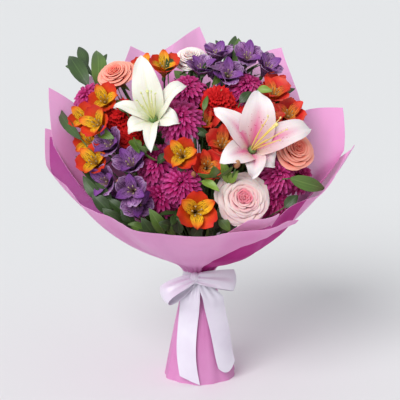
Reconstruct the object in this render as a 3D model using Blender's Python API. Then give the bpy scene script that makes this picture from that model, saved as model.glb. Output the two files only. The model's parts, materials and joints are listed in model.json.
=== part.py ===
"""A hand-tied flower bouquet in a flared paper wrap with a ribbon bow.

Metres, +Z up, the viewer stands at -Y. The origin lies on the table, on the axis of the
bundle. Stems run in a spiral from the table up to the tie and fan out to the blooms. Every
bloom is placed by hand across and up, its depth comes from the dome that the blooms fill, and
a short settling pass pushes neighbours clear of each other. The stems are then routed: each
gets a place at the tie and a slight sway, so that none crosses another.
"""
import math

import bmesh
import bpy
import numpy as np
from mathutils import Matrix, Vector

GAP = 0.0003

# Bundle and tie
TIE_Z = 0.167
SLOT_PITCH = 0.0058
STEM_RADIUS = 0.0026
TWIG_RADIUS = 0.0013
CALYX_LENGTH = 0.007
FORK_LENGTH = 0.062
OVARY_RADIUS = 0.0020
FLORET_SUNK = 0.002
STEM_SIDES = 6
TWIG_SIDES = 4
# How far a stem rises straight from the tie, and how far below its end it starts to turn to
# the bloom's axis, as shares of its length above the tie
STEM_RISE = 0.30
TURN_SINGLE = 0.30
TURN_SPRAY = 0.20
TURN_SPRIG = 0.25
SPREAD_BELOW = 2.9
SPIRAL_BELOW = math.radians(-50)
TIE_INNER_RADIUS = 0.0188
TIE_THICKNESS = 0.0007
TIE_LOW_Z = 0.1603
TIE_HIGH_Z = 0.1655
TIE_COLUMNS = 24

# The viewer's eye: across and up are read on the upright plane through the bundle's axis,
# where the viewer sees a bloom against it, and the bloom lies on that line of sight
EYE = Vector((0.0, -1.68, 0.645))

# Dome that the bloom bases lie on: half width, half height and middle height on that plane,
# how far its rim and its middle stand in front of the plane, and its lean backward
DOME_ACROSS = 0.215
DOME_UP = 0.170
DOME_MID_UP = 0.362
DOME_RIM_FORWARD = -0.034
DOME_BULGE = 0.078
DOME_LEAN = 0.60
FOCUS = Vector((0.0, 0.07, 0.19))
VIEW_PULL = 0.75
# How far a bloom's visible middle stands above its base, in bloom radii
MIDDLE_ABOVE_BASE = {"lily": 0.30, "rose": 0.60, "chrysanthemum": 0.30, "carnation": 0.45,
                     "alstroemeria": 0.85}

# Paper wrap: the meridian at the front, at the sides and at the back, each with the pull
# point and the rim of a cubic curve that rises from the neck, as (radius, height)
NECK = (0.0196, 0.1600)
NECK_RISE = (0.0200, 0.2050)
FRONT_PULL = (0.084, 0.192)
FRONT_RIM = (0.156, 0.281)
SIDE_PULL = (0.160, 0.215)
SIDE_RIM = (0.222, 0.400)
BACK_PULL = (0.130, 0.250)
BACK_RIM = (0.142, 0.505)
PAPER = 0.0007
LAYER_AT_NECK = 0.0011
LAYER_AT_RIM = 0.0095
PLEATS = 12
PLEAT_DEPTH = 0.030
WRAP_STEP = 7.5
WRAP_ROWS = (0.0, 0.12, 0.34, 0.56, 0.78, 1.0)
FOOT_TOP_Z = 0.1595
FOOT_RADIUS = 0.054
FOOT_COLUMNS = 24
FOOT_RIPPLES = 6
FOOT_RIPPLE = 0.0016
# Room of the foot round the neck of the wrap, and of the blooms inside the wrap
FOOT_ROOM = 0.0006
WRAP_ROOM = 0.0025

# Ribbon
RIBBON_WIDTH = 0.030
RIBBON_THICKNESS = 0.0008
BAND_RADIUS = 0.0262
BAND_THICKNESS = 0.0010
BAND_LOW_Z = 0.1415
BAND_HIGH_Z = 0.1645
BAND_COLUMNS = 16
KNOT = (0.010, 0.008, 0.010)
KNOT_PLACE = Vector((-0.004, -BAND_RADIUS - 0.0068, 0.154))
# Loops: side, reach and droop. Tails: angles round the foot from top to end, and the end's
# height
LOOPS = ((-1, 0.046, math.radians(42)), (1, 0.044, math.radians(6)))
LOOP_STEPS = 7
LOOP_BULGE = 0.007
LOOP_FORWARD = 0.15
LOOP_WIDTH = 0.024
TAILS = (((-0.10, -0.06, -0.02, 0.00), 0.004), ((0.25, 0.70, 0.86, 0.95), 0.014))
TAIL_TOP_Z = 0.152
TAIL_CLEARANCE = 0.0034

# Settling: room between guard spheres, passes, step, ease of moving across, in depth and up,
# and the hold that draws a bloom back to its own place
SETTLE_CLEARANCE = 0.0028
SETTLE_ROUNDS = 200
SETTLE_STEP = 0.6
SETTLE_EASE = np.array((0.8, 1.4, 0.8))
SETTLE_HOLD = 0.994
# Routing: guarded places on a stem below its bloom, spacing of samples, room between
# stems, passes, stems tried in each, and how far a stem may sway
STEM_GUARDS = (0.010, 0.018, 0.026, 0.034, 0.044, 0.054)
SAMPLE_STEP = 0.004
ROUTE_CLEARANCE = 0.0006
ROUTE_ROUNDS = 4
ROUTE_WORST = 14
ROUTE_ENOUGH = 0.01
SWAY_SIZES = (0.008, 0.016, 0.024)
SWAY_TURNS = 8

# Single blooms: name, kind, across, up, shift toward the viewer, radius, roll in degrees
SINGLES = (
    ("lily_white", "lily", -0.075, 0.388, 0.030, 0.098, -15),
    ("lily_pink", "lily", 0.078, 0.350, 0.034, 0.106, 22),
    ("rose_garden", "rose", 0.074, 0.272, 0.022, 0.041, 0),
    ("rose_peach_right", "rose", 0.142, 0.335, 0.006, 0.029, 20),
    ("rose_peach_left", "rose", -0.122, 0.452, 0.000, 0.028, 40),
    ("rose_blush", "rose", -0.012, 0.482, -0.010, 0.026, 10),
)

# Sprays of blooms on one stem: name, kind, heads as (across, up, toward, radius, roll)
SPRAYS = (
    ("chrysanthemum_spray_left", "chrysanthemum", (
        (-0.160, 0.420, 0.000, 0.027, 0),)),
    ("chrysanthemum_spray_top", "chrysanthemum", (
        (-0.029, 0.388, 0.021, 0.030, 0),
        (-0.016, 0.436, 0.004, 0.028, 12),
        (0.068, 0.448, 0.000, 0.027, 24))),
    ("chrysanthemum_spray_front", "chrysanthemum", (
        (-0.068, 0.328, 0.010, 0.029, 6),
        (-0.064, 0.281, 0.006, 0.027, 18),
        (-0.024, 0.303, 0.012, 0.026, 30))),
    ("chrysanthemum_spray_right", "chrysanthemum", (
        (0.118, 0.302, 0.000, 0.026, 9),
        (0.130, 0.258, -0.006, 0.027, 21))),
    ("chrysanthemum_spray_low", "chrysanthemum", (
        (0.162, 0.286, -0.014, 0.026, 3),
        (0.106, 0.232, -0.008, 0.024, 27))),
    ("carnation_spray_left", "carnation", (
        (-0.116, 0.394, 0.000, 0.024, 0),
        (-0.096, 0.366, -0.004, 0.023, 15))),
    ("carnation_spray_top", "carnation", (
        (0.028, 0.416, 0.002, 0.024, 5),
        (0.050, 0.400, 0.000, 0.023, 25))),
    ("alstroemeria_orange_left", "alstroemeria", (
        (-0.134, 0.418, 0.004, 0.024, 0),
        (-0.142, 0.386, 0.010, 0.025, 20),
        (-0.160, 0.366, 0.006, 0.024, 40),
        (-0.172, 0.398, 0.000, 0.023, 10),
        (-0.160, 0.328, 0.006, 0.025, 30))),
    ("alstroemeria_orange_front", "alstroemeria", (
        (-0.022, 0.348, 0.014, 0.025, 0),
        (-0.012, 0.256, 0.020, 0.029, 30))),
    ("alstroemeria_orange_top", "alstroemeria", (
        (-0.060, 0.470, 0.000, 0.024, 0),
        (-0.080, 0.465, -0.006, 0.022, 25))),
    ("alstroemeria_red_centre", "alstroemeria", (
        (0.006, 0.384, 0.012, 0.025, 0),
        (0.004, 0.320, 0.010, 0.025, 20),
        (0.034, 0.348, 0.016, 0.025, 40))),
    ("alstroemeria_red_right", "alstroemeria", (
        (0.112, 0.430, 0.000, 0.025, 0),
        (0.132, 0.404, 0.004, 0.025, 20),
        (0.104, 0.398, 0.006, 0.024, 40),
        (0.100, 0.452, -0.006, 0.023, 10))),
    ("alstroemeria_purple_left", "alstroemeria", (
        (-0.120, 0.352, 0.006, 0.025, 10),
        (-0.104, 0.318, 0.010, 0.025, 20),
        (-0.136, 0.300, 0.004, 0.025, 40))),
    ("alstroemeria_purple_low", "alstroemeria", (
        (-0.102, 0.254, 0.002, 0.025, 0),
        (-0.132, 0.272, -0.004, 0.024, 20),
        (-0.100, 0.290, 0.012, 0.024, 40))),
    ("alstroemeria_purple_top", "alstroemeria", (
        (0.004, 0.466, 0.004, 0.023, 0),
        (0.026, 0.482, 0.000, 0.024, 20),
        (0.042, 0.458, 0.004, 0.023, 40),
        (0.054, 0.484, -0.004, 0.024, 10),
        (0.074, 0.478, 0.000, 0.023, 30),
        (0.096, 0.464, -0.002, 0.023, 50))),
)

# Leaves of a sprig: share of the way to its tip, side, and splay from its axis
SPRIG_LEAVES = ((0.70, 0, 0.0), (0.40, 1, 0.7), (0.15, -1, 0.8))
# A sprig's own stem: how far it goes up among the leaves, and its last three radii
SPRIG_STEM_SHARE = 0.72
SPRIG_STEM_RADII = (0.0020, 0.0018, 0.0012)

# Leafy sprigs: name, the sprig's foot and tip as (across, up, toward), leaf length and width
SPRIGS = (
    ("foliage_top_left", (-0.156, 0.454, -0.010), (-0.172, 0.488, -0.006), 0.056, 0.022),
    ("foliage_left", (-0.207, 0.337, -0.020), (-0.216, 0.363, -0.022), 0.030, 0.011),
    ("foliage_top", (0.046, 0.470, -0.048), (0.052, 0.494, -0.048), 0.050, 0.019),
    ("foliage_right", (0.158, 0.290, -0.040), (0.186, 0.300, -0.036), 0.052, 0.020),
    ("foliage_centre", (-0.082, 0.352, 0.000), (-0.080, 0.354, 0.030), 0.038, 0.018),
    ("foliage_middle", (0.034, 0.298, 0.000), (0.032, 0.306, 0.030), 0.042, 0.018),
    ("foliage_front", (-0.045, 0.241, 0.000), (-0.048, 0.231, 0.024), 0.036, 0.015),
)

# Paper sheets: name, layer from the inside, and the corners of the rim as angles round the
# axis in degrees (0 front, 90 right) with the share of the meridian that they reach
SHEETS = (
    ("wrap_back", 0, ((150, 0.88), (172.5, 0.96), (180, 1.02), (202.5, 0.98), (217.5, 0.92))),
    ("wrap_back_right", 1, ((105, 0.82), (120, 0.90), (135, 1.02), (142.5, 1.00), (150, 0.97),
                            (172.5, 0.86))),
    ("wrap_back_left", 1, ((187.5, 0.88), (202.5, 0.96), (217.5, 1.01), (225, 0.97), (240, 0.99),
                           (247.5, 0.94), (255, 0.84))),
    ("wrap_left", 0, ((-135, 0.82), (-120, 0.91), (-105, 0.97), (-97.5, 1.04), (-82.5, 0.80))),
    ("wrap_right", 0, ((82.5, 0.82), (97.5, 0.99), (120, 0.90), (135, 0.84))),
    ("wrap_front_left", 2, ((-105, 0.90), (-97.5, 0.95), (-90, 0.88), (-75, 0.89), (-45, 0.93),
                            (-22.5, 0.98), (0, 1.00), (15, 0.99), (30, 0.96), (45, 0.92),
                            (52.5, 0.84))),
    ("wrap_front_right", 1, ((15, 0.94), (22.5, 1.01), (37.5, 0.98), (45, 0.90), (67.5, 0.91),
                             (82.5, 0.98), (90, 0.92), (97.5, 0.80))),
)

# Rings of the turned blooms, as (radius, height, notch, turn) in bloom radii: notch is the
# share of the radius lost between two petals, turn shifts the petals by part of a petal
CHRYSANTHEMUM_RINGS = (
    (0.16, 0.00, 0.00, 0.0), (1.00, 0.14, 0.42, 0.0),
    (0.50, 0.26, 0.10, 0.0), (0.88, 0.42, 0.42, 0.5), (0.42, 0.46, 0.10, 0.5),
    (0.66, 0.68, 0.40, 0.0), (0.28, 0.62, 0.00, 0.0), (0.00, 0.80, 0.00, 0.0),
)
CARNATION_RINGS = (
    (0.18, 0.00, 0.00, 0.0), (0.34, 0.16, 0.00, 0.0), (1.00, 0.42, 0.22, 0.0),
    (0.62, 0.52, 0.10, 0.0), (0.86, 0.78, 0.26, 0.5), (0.44, 0.70, 0.10, 0.5),
    (0.56, 0.98, 0.34, 0.0), (0.20, 0.82, 0.00, 0.0), (0.00, 1.02, 0.00, 0.0),
)
ROSE_RINGS = (
    (0.14, 0.00, 0.00, 0.0), (0.62, 0.12, 0.00, 0.0), (0.94, 0.40, 0.06, 0.0),
    (1.00, 0.72, 0.10, 0.0), (0.80, 0.58, 0.04, 0.0), (0.84, 0.88, 0.10, 0.5),
    (0.60, 0.70, 0.04, 0.5), (0.62, 0.98, 0.12, 0.3), (0.38, 0.76, 0.04, 0.3),
    (0.40, 1.00, 0.14, 0.8), (0.18, 0.80, 0.00, 0.0), (0.16, 0.98, 0.00, 0.0),
)
FLORET_RINGS = (
    (0.00, 0.00, 0.00, 0.0), (0.28, 0.55, 0.08, 0.0), (1.00, 1.20, 0.46, 0.0),
    (0.30, 0.86, 0.10, 0.0),
)
BLOOM_SHAPES = {
    "chrysanthemum": (CHRYSANTHEMUM_RINGS, 8, 2),
    "carnation": (CARNATION_RINGS, 8, 2),
    "rose": (ROSE_RINGS, 5, 3),
    "alstroemeria": (FLORET_RINGS, 6, 2),
}
# Guard spheres of the settling pass: radius, distance from the axis, height and count,
# in bloom radii
GUARDS = {
    "chrysanthemum": ((0.60, 0.0, 0.34, 1), (0.24, 0.76, 0.22, 8)),
    "carnation": ((0.62, 0.0, 0.50, 1), (0.24, 0.76, 0.46, 8)),
    "rose": ((0.62, 0.0, 0.50, 1), (0.30, 0.66, 0.50, 8)),
    "alstroemeria": ((0.46, 0.0, 0.62, 1), (0.22, 0.62, 1.02, 6)),
}

# Lily: a throat, and six tepals that leave it steeply and bend outward, the inner three
# wider than the outer three and a hair lower at the root
THROAT_RADII = (0.0044, 0.0070)
THROAT_LENGTH = 0.022
TEPAL_COUNT = 6
TEPAL_START = math.radians(14)
TEPAL_END = math.radians(86)
TEPAL_ROOT = (0.0015, 0.004)
TEPAL_WIDTH = 0.36
TEPAL_OUTER_WIDTH = 0.84
TEPAL_STAGGER = 0.0006
TEPAL_CUP = 0.12
TEPAL_THICKNESS = 0.0012
TEPAL_ROWS = 5
# Stamens and pistil: where they start in the throat, their length in lily lengths, how far
# they lean out, and their radii at root and tip
STAMEN = (0.016, 0.72, 0.022, (0.0008, 0.0020))
PISTIL = (0.018, 0.84, 0.008, (0.0012, 0.0026))
LEAF_ROWS = 4
LEAF_THICKNESS = 0.0009
LEAF_CUP = 0.10

COLOURS = {
    "lily_white": (0.86, 0.87, 0.76),
    "lily_pink": (0.90, 0.70, 0.72),
    "rose_garden": (0.90, 0.58, 0.60),
    "rose_peach_right": (0.92, 0.44, 0.30),
    "rose_peach_left": (0.92, 0.48, 0.30),
    "rose_blush": (0.90, 0.66, 0.66),
    "chrysanthemum": (0.32, 0.01, 0.14),
    "carnation": (0.62, 0.02, 0.02),
    "orange": (0.88, 0.24, 0.03),
    "red": (0.68, 0.03, 0.02),
    "purple": (0.14, 0.04, 0.26),
    "stem": (0.10, 0.20, 0.05),
    "leaf": (0.06, 0.16, 0.04),
    "paper": (0.66, 0.28, 0.58),
    "ribbon": (0.86, 0.84, 0.90),
    "twine": (0.45, 0.36, 0.22),
}
ROUGHNESS = {"petal": 0.55, "stem": 0.55, "leaf": 0.5, "paper": 0.5, "ribbon": 0.35, "twine": 0.8}


def clear_scene():
    """Remove what the file starts with."""
    for item in list(bpy.data.objects):
        bpy.data.objects.remove(item)


def material(surface, shade):
    """Return a plain Principled material of a surface in one of the shades, made once."""
    name = surface if surface == shade else f"{surface}_{shade}"
    made = bpy.data.materials.get(name)
    if made is None:
        made = bpy.data.materials.new(name)
        made.use_nodes = True
        shader = made.node_tree.nodes["Principled BSDF"]
        shader.inputs["Base Color"].default_value = (*COLOURS[shade], 1)
        shader.inputs["Roughness"].default_value = ROUGHNESS[surface]
        shader.inputs["Metallic"].default_value = 0.0
    return made


def add_object(name, mesh, finish):
    """Put a mesh in the scene as one named piece."""
    piece = bpy.data.objects.new(name, mesh)
    bpy.context.scene.collection.objects.link(piece)
    mesh.materials.clear()
    mesh.materials.append(finish)
    return piece


def fuse(name, meshes, finish):
    """Join overlapping meshes into one solid with a Boolean union on a collection."""
    piece = add_object(name, meshes[0], finish)
    if len(meshes) == 1:
        return piece
    others = bpy.data.collections.new(name + "_others")
    bpy.context.scene.collection.children.link(others)
    for mesh in meshes[1:]:
        others.objects.link(bpy.data.objects.new(mesh.name, mesh))
    union = piece.modifiers.new("union", "BOOLEAN")
    union.operation = "UNION"
    union.operand_type = "COLLECTION"
    union.collection = others
    union.solver = "MANIFOLD"
    graph = bpy.context.evaluated_depsgraph_get()
    joined = bpy.data.meshes.new_from_object(piece.evaluated_get(graph))
    piece.modifiers.clear()
    piece.data = joined
    joined.materials.clear()
    joined.materials.append(finish)
    for item in list(others.objects):
        bpy.data.objects.remove(item)
    bpy.data.collections.remove(others)
    return piece


def ring_solid(rings, petals, steps, size):
    """Return a closed turned mesh whose rings wave in and out round the axis."""
    columns = petals * steps
    bm = bmesh.new()
    loops = []
    for radius, height, notch, turn in rings:
        loop = []
        for column in range(columns if radius else 1):
            angle = 2 * math.pi * column / columns
            wave = 0.5 + 0.5 * math.cos(petals * angle - 2 * math.pi * turn)
            reach = size * radius * (1 - notch * (1 - wave))
            point = (reach * math.cos(angle), reach * math.sin(angle), size * height)
            loop.append(bm.verts.new(point))
        loops.append(loop * columns if len(loop) == 1 else loop)
    for lower, upper in zip(loops, loops[1:]):
        for column in range(columns):
            following = (column + 1) % columns
            corner = (lower[column], lower[following], upper[following], upper[column])
            bm.faces.new(list(dict.fromkeys(corner)))
    if rings[0][0]:
        bm.faces.new(reversed(loops[0]))
    if rings[-1][0]:
        bm.faces.new(loops[-1])
    bmesh.ops.triangulate(bm, faces=[face for face in bm.faces if len(face.verts) == 4],
                          quad_method="SHORT_EDGE")
    mesh = bpy.data.meshes.new("bloom")
    bm.to_mesh(mesh)
    bm.free()
    return mesh


def thick_grid(rows, thickness):
    """Return a thin closed mesh on a grid of points, its two faces split alike."""
    height = len(rows)
    width = len(rows[0])
    bm = bmesh.new()
    faces = []
    for side in (0.5, -0.5):
        layer = []
        for i in range(height):
            line = []
            for j in range(width):
                along = rows[min(i + 1, height - 1)][j] - rows[max(i - 1, 0)][j]
                across = rows[i][min(j + 1, width - 1)] - rows[i][max(j - 1, 0)]
                normal = across.cross(along).normalized()
                line.append(bm.verts.new(rows[i][j] + normal * thickness * side))
            layer.append(line)
        faces.append(layer)
    top, bottom = faces
    for i in range(height - 1):
        for j in range(width - 1):
            a, b = (i, j), (i, j + 1)
            c, d = (i + 1, j + 1), (i + 1, j)
            for triangle in ((a, b, c), (a, c, d)):
                bm.faces.new([top[r][s] for r, s in triangle])
                bm.faces.new([bottom[r][s] for r, s in reversed(triangle)])
    border = [(0, j) for j in range(width)]
    border += [(i, width - 1) for i in range(1, height)]
    border += [(height - 1, j) for j in range(width - 2, -1, -1)]
    border += [(i, 0) for i in range(height - 2, 0, -1)]
    for (r, s), (u, v) in zip(border, border[1:] + border[:1]):
        bm.faces.new((top[u][v], top[r][s], bottom[r][s], bottom[u][v]))
    bmesh.ops.recalc_face_normals(bm, faces=bm.faces)
    mesh = bpy.data.meshes.new("sheet")
    bm.to_mesh(mesh)
    bm.free()
    return mesh


def tube(points, radii, sides):
    """Return a capped tube mesh along points, its radius given at each of them."""
    curve = bpy.data.curves.new("tube", "CURVE")
    curve.dimensions = "3D"
    curve.bevel_depth = 1.0
    curve.bevel_resolution = (sides - 4) // 2
    curve.use_fill_caps = True
    line = curve.splines.new("POLY")
    line.points.add(len(points) - 1)
    for knot, place, radius in zip(line.points, points, radii):
        knot.co = (*place, 1)
        knot.radius = radius
    holder = bpy.data.objects.new("tube", curve)
    bpy.context.scene.collection.objects.link(holder)
    graph = bpy.context.evaluated_depsgraph_get()
    mesh = bpy.data.meshes.new_from_object(holder.evaluated_get(graph))
    bpy.data.objects.remove(holder)
    bm = bmesh.new()
    bm.from_mesh(mesh)
    bmesh.ops.remove_doubles(bm, verts=bm.verts, dist=1e-6)
    bmesh.ops.recalc_face_normals(bm, faces=bm.faces)
    bm.to_mesh(mesh)
    bm.free()
    return mesh


def bezier(start, pull, push, end, share):
    """Return the point at a share of the way along a cubic curve."""
    rest = 1 - share
    return (start * rest ** 3 + pull * 3 * rest ** 2 * share
            + push * 3 * rest * share ** 2 + end * share ** 3)


def dome_point(across, up, toward):
    """Return the place on the dome that the viewer sees at across and up."""
    inside = 1 - (across / DOME_ACROSS) ** 2 - ((up - DOME_MID_UP) / DOME_UP) ** 2
    forward = DOME_RIM_FORWARD + DOME_BULGE * math.sqrt(max(inside, 0.0))
    forward += toward - DOME_LEAN * (up - DOME_MID_UP)
    seen_at = Vector((across, 0, up))
    return EYE.lerp(seen_at, 1 + forward / EYE.y)


def facing(place):
    """Return the way a bloom at this place looks: out of the bunch and to the viewer."""
    return ((place - FOCUS).normalized() + (EYE - place).normalized() * VIEW_PULL).normalized()


def base_point(kind, size, across, up, toward):
    """Return the base of a bloom whose middle is seen at across and up."""
    middle = dome_point(across, up, toward)
    return middle - facing(middle) * MIDDLE_ABOVE_BASE[kind] * size


def bloom_frame(bloom):
    """Return the matrix that stands a bloom at its place, its axis along its facing."""
    place = bloom["place"]
    if bloom["kind"] == "sprig":
        ahead = bloom["aim"]
        side = (EYE - place).cross(ahead).normalized()
        turn = Matrix((side, ahead.cross(side), ahead)).transposed().to_4x4()
        return Matrix.Translation(place) @ turn
    turn = facing(place).to_track_quat("Z", "Y").to_matrix().to_4x4()
    roll = Matrix.Rotation(math.radians(bloom["roll"]), 4, "Z")
    return Matrix.Translation(place) @ turn @ roll


def tepal_spine(length):
    """Return a tepal's midline from the throat to its tip, in its own upright plane."""
    radius, height = TEPAL_ROOT
    spine = [TEPAL_ROOT]
    step = length / (TEPAL_ROWS - 1)
    for row in range(1, TEPAL_ROWS):
        share = (row - 0.5) / (TEPAL_ROWS - 1)
        lean = TEPAL_START + (TEPAL_END - TEPAL_START) * share ** 0.8
        radius += step * math.sin(lean)
        height += step * math.cos(lean)
        spine.append((radius, height))
    return spine


def sprig_leaf(bloom, where, hand, splay):
    """Return the root, direction and side of one leaf in its sprig's own frame."""
    root = Vector((0, 0, bloom["reach"] * where))
    way = Vector((hand * splay, 0, 1)).normalized()
    return root, way, Vector((way.z, 0, -way.x))


def guard_spheres(bloom, frame):
    """Return the centres and radii of the spheres that keep a bloom's room."""
    kind, size = bloom["kind"], bloom["size"]
    spheres = []
    for back in STEM_GUARDS:
        spheres.append((frame @ Vector((0, 0, -back)), STEM_RADIUS))
    if kind == "sprig":
        for leaf in SPRIG_LEAVES:
            root, way, _ = sprig_leaf(bloom, *leaf)
            for share in (0.3, 0.6, 0.9):
                spheres.append((frame @ (root + way * size * share), bloom["width"] * 0.34))
    elif kind == "lily":
        for turn in range(TEPAL_COUNT):
            angle = 2 * math.pi * turn / TEPAL_COUNT
            for row, (radius, height) in enumerate(tepal_spine(size)[1:]):
                share = (row + 1) / (TEPAL_ROWS - 1)
                room = 0.5 * TEPAL_WIDTH * size * math.sin(math.pi * min(share, 0.85)) + 0.002
                place = (radius * math.cos(angle), radius * math.sin(angle), height)
                spheres.append((frame @ Vector(place), 0.90 * room))
    else:
        for room, off, height, count in GUARDS[kind]:
            for turn in range(count):
                angle = 2 * math.pi * turn / count
                place = Vector((off * math.cos(angle), off * math.sin(angle), height))
                spheres.append((frame @ (place * size), room * size))
    return spheres


def meridian(angle, share):
    """Return radius, height and outward normal of the wrap at an angle and a share."""
    front = math.cos(angle)
    far_pull, far_rim = (FRONT_PULL, FRONT_RIM) if front > 0 else (BACK_PULL, BACK_RIM)
    blend = abs(front) ** 0.9
    pull = Vector(SIDE_PULL).lerp(Vector(far_pull), blend)
    rim = Vector(SIDE_RIM).lerp(Vector(far_rim), blend)
    neck = Vector(NECK)
    rise = Vector(NECK_RISE)
    place = bezier(neck, rise, pull, rim, share)
    rest = 1 - share
    slope = ((rise - neck) * rest ** 2 + (pull - rise) * 2 * rest * share
             + (rim - pull) * share ** 2).normalized()
    return place.x, place.y, slope.y, -slope.x


def wrap_point(angle, share, layer):
    """Return a point of the wrap: pleated, and offset outward by its layer."""
    radius, height, out, down = meridian(angle, share)
    radius *= 1 + PLEAT_DEPTH * share * math.cos(PLEATS * angle)
    offset = layer * (LAYER_AT_NECK + LAYER_AT_RIM * share)
    radius += out * offset
    height += down * offset
    return Vector((radius * math.sin(angle), -radius * math.cos(angle), height))


def keep_inside(place, room):
    """Return the move that brings a sphere back inside the paper wrap."""
    angle = math.atan2(place.x, -place.y)
    radius = math.hypot(place.x, place.y)
    best = None
    for step in range(41):
        share = step / 40
        wall_radius, wall_height, out, down = meridian(angle, share)
        far = (wall_radius - radius) ** 2 + (wall_height - place.z) ** 2
        if best is None or far < best[0]:
            best = (far, share, wall_radius, wall_height, out, down)
    _, share, wall_radius, wall_height, out, down = best
    if share == 1.0:
        return Vector((0, 0, 0))
    inside = (wall_radius - radius) * out + (wall_height - place.z) * down
    margin = room + WRAP_ROOM + PLEAT_DEPTH * share * wall_radius
    if inside > margin:
        return Vector((0, 0, 0))
    lack = margin - inside
    return Vector((-out * lack * math.sin(angle), out * lack * math.cos(angle), -down * lack))


def settle(blooms, rounds):
    """Push blooms apart until their guard spheres clear each other and the wrap."""
    centres, rooms, owners = [], [], []
    for index, bloom in enumerate(blooms):
        for centre, room in guard_spheres(bloom, bloom_frame(bloom)):
            centres.append(centre)
            rooms.append(room)
            owners.append(index)
    centres = np.array(centres)
    rooms = np.array(rooms)
    owners = np.array(owners)
    moved = np.zeros((len(blooms), 3))
    reach = rooms[:, None] + rooms[None, :]
    foreign = owners[:, None] != owners[None, :]
    for turn in range(rounds):
        places = centres + moved[owners]
        away = places[:, None] - places[None, :]
        distance = np.linalg.norm(away, axis=2) + 1e-9
        lack = np.where(foreign, np.maximum(reach + SETTLE_CLEARANCE - distance, 0), 0)
        push = (away / distance[:, :, None]) * lack[:, :, None]
        move = np.zeros_like(moved)
        touches = np.zeros(len(blooms))
        np.add.at(move, owners, push.sum(axis=1))
        np.add.at(touches, owners, (lack > 0).sum(axis=1))
        move /= np.maximum(touches, 1)[:, None]
        moved += SETTLE_STEP * move * SETTLE_EASE
        moved *= SETTLE_HOLD
        if turn % 4 == 3:
            for sphere, owner in enumerate(owners):
                place = Vector(centres[sphere] + moved[owner])
                moved[owner] += 0.5 * np.array(keep_inside(place, rooms[sphere]))
    for bloom, shift in zip(blooms, moved):
        bloom["frame"] = bloom_frame(bloom)
        bloom["frame"].translation += Vector(shift)


def lay_out():
    """Return every bloom with its settled frame, keyed by the stem that carries it."""
    blooms = []
    for name, kind, across, up, toward, size, roll in SINGLES:
        place = base_point(kind, size, across, up, toward)
        blooms.append({"name": name, "stem": name + "_stem", "kind": kind, "size": size,
                       "roll": roll, "place": place})
    for name, kind, heads in SPRAYS:
        for number, (across, up, toward, size, roll) in enumerate(heads, start=1):
            place = base_point(kind, size, across, up, toward)
            blooms.append({"name": f"{name}_head_{number}", "stem": name, "kind": kind,
                           "size": size, "roll": roll, "place": place})
    for name, foot, tip, length, width in SPRIGS:
        low, high = dome_point(*foot), dome_point(*tip)
        blooms.append({"name": name, "stem": name, "kind": "sprig", "size": length,
                       "width": width, "roll": 0, "place": low, "reach": (high - low).length,
                       "aim": (high - low).normalized()})
    settle(blooms, SETTLE_ROUNDS)
    return blooms


def waist_slots(count):
    """Return the places of the stems at the tie: the inmost of a hexagonal lattice."""
    slots = []
    for i in range(-4, 5):
        for j in range(-4, 5):
            x = SLOT_PITCH * (i + j / 2)
            y = SLOT_PITCH * j * math.sqrt(3) / 2
            slots.append((round(math.hypot(x, y), 6), math.atan2(y, x), x, y))
    slots.sort()
    return [Vector((x, y)) for _, _, x, y in slots[:count]]


def share_slots(targets):
    """Give each stem the slot that faces its bloom: swap while it brings them nearer."""
    slots = waist_slots(len(targets))
    order = list(range(len(targets)))
    better = True
    while better:
        better = False
        for a in range(len(order)):
            for b in range(a + 1, len(order)):
                gain = (targets[a] - targets[b]).dot(slots[order[b]] - slots[order[a]])
                if gain > 1e-9:
                    order[a], order[b] = order[b], order[a]
                    better = True
    return [slots[index] for index in order]


def stem_line(slot, end, axis, bend, sway):
    """Return a stem's centre line: spiral foot, tie, then a curve that sways to its end."""
    turn = Matrix.Rotation(SPIRAL_BELOW, 2)
    foot = (turn @ slot) * SPREAD_BELOW
    waist = Vector((slot.x, slot.y, TIE_Z))
    below = waist + (Vector((foot.x, foot.y, 0)) - waist) * (1 + STEM_RADIUS / TIE_Z)
    length = (end - waist).length
    pull = waist + Vector((slot.x, slot.y, STEM_RISE * length)) + sway / 2
    push = end - axis * bend * length + sway
    line = [below, waist]
    for share in (0.32, 0.66):
        line.append(bezier(waist, pull, push, end, share))
    line.append(end - axis * CALYX_LENGTH)
    line.append(end)
    return line


def cut_flat(mesh):
    """Cut a stem mesh off flat at the table."""
    bm = bmesh.new()
    bm.from_mesh(mesh)
    whole = bm.verts[:] + bm.edges[:] + bm.faces[:]
    bmesh.ops.bisect_plane(bm, geom=whole, plane_co=(0, 0, 0), plane_no=(0, 0, 1),
                           clear_inner=True)
    rim = [edge for edge in bm.edges if edge.is_boundary]
    bmesh.ops.holes_fill(bm, edges=rim, sides=0)
    bmesh.ops.recalc_face_normals(bm, faces=bm.faces)
    bm.to_mesh(mesh)
    bm.free()
    return mesh


def build_bloom(bloom, finish):
    """Model one turned bloom in its place."""
    rings, petals, steps = BLOOM_SHAPES[bloom["kind"]]
    mesh = ring_solid(rings, petals, steps, bloom["size"])
    piece = add_object(bloom["name"], mesh, finish)
    piece.matrix_world = bloom["frame"]
    return piece


def blade(spine, sides, widths, cup):
    """Return the grid of a blade: two edges raised beside its midline."""
    rows = []
    for index, centre in enumerate(spine):
        ahead = spine[min(index + 1, len(spine) - 1)] - spine[max(index - 1, 0)]
        normal = sides[index].cross(ahead).normalized()
        lift = normal * cup * widths[index]
        half = sides[index] * widths[index] / 2
        rows.append([centre - half + lift, centre, centre + half + lift])
    return rows


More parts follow.
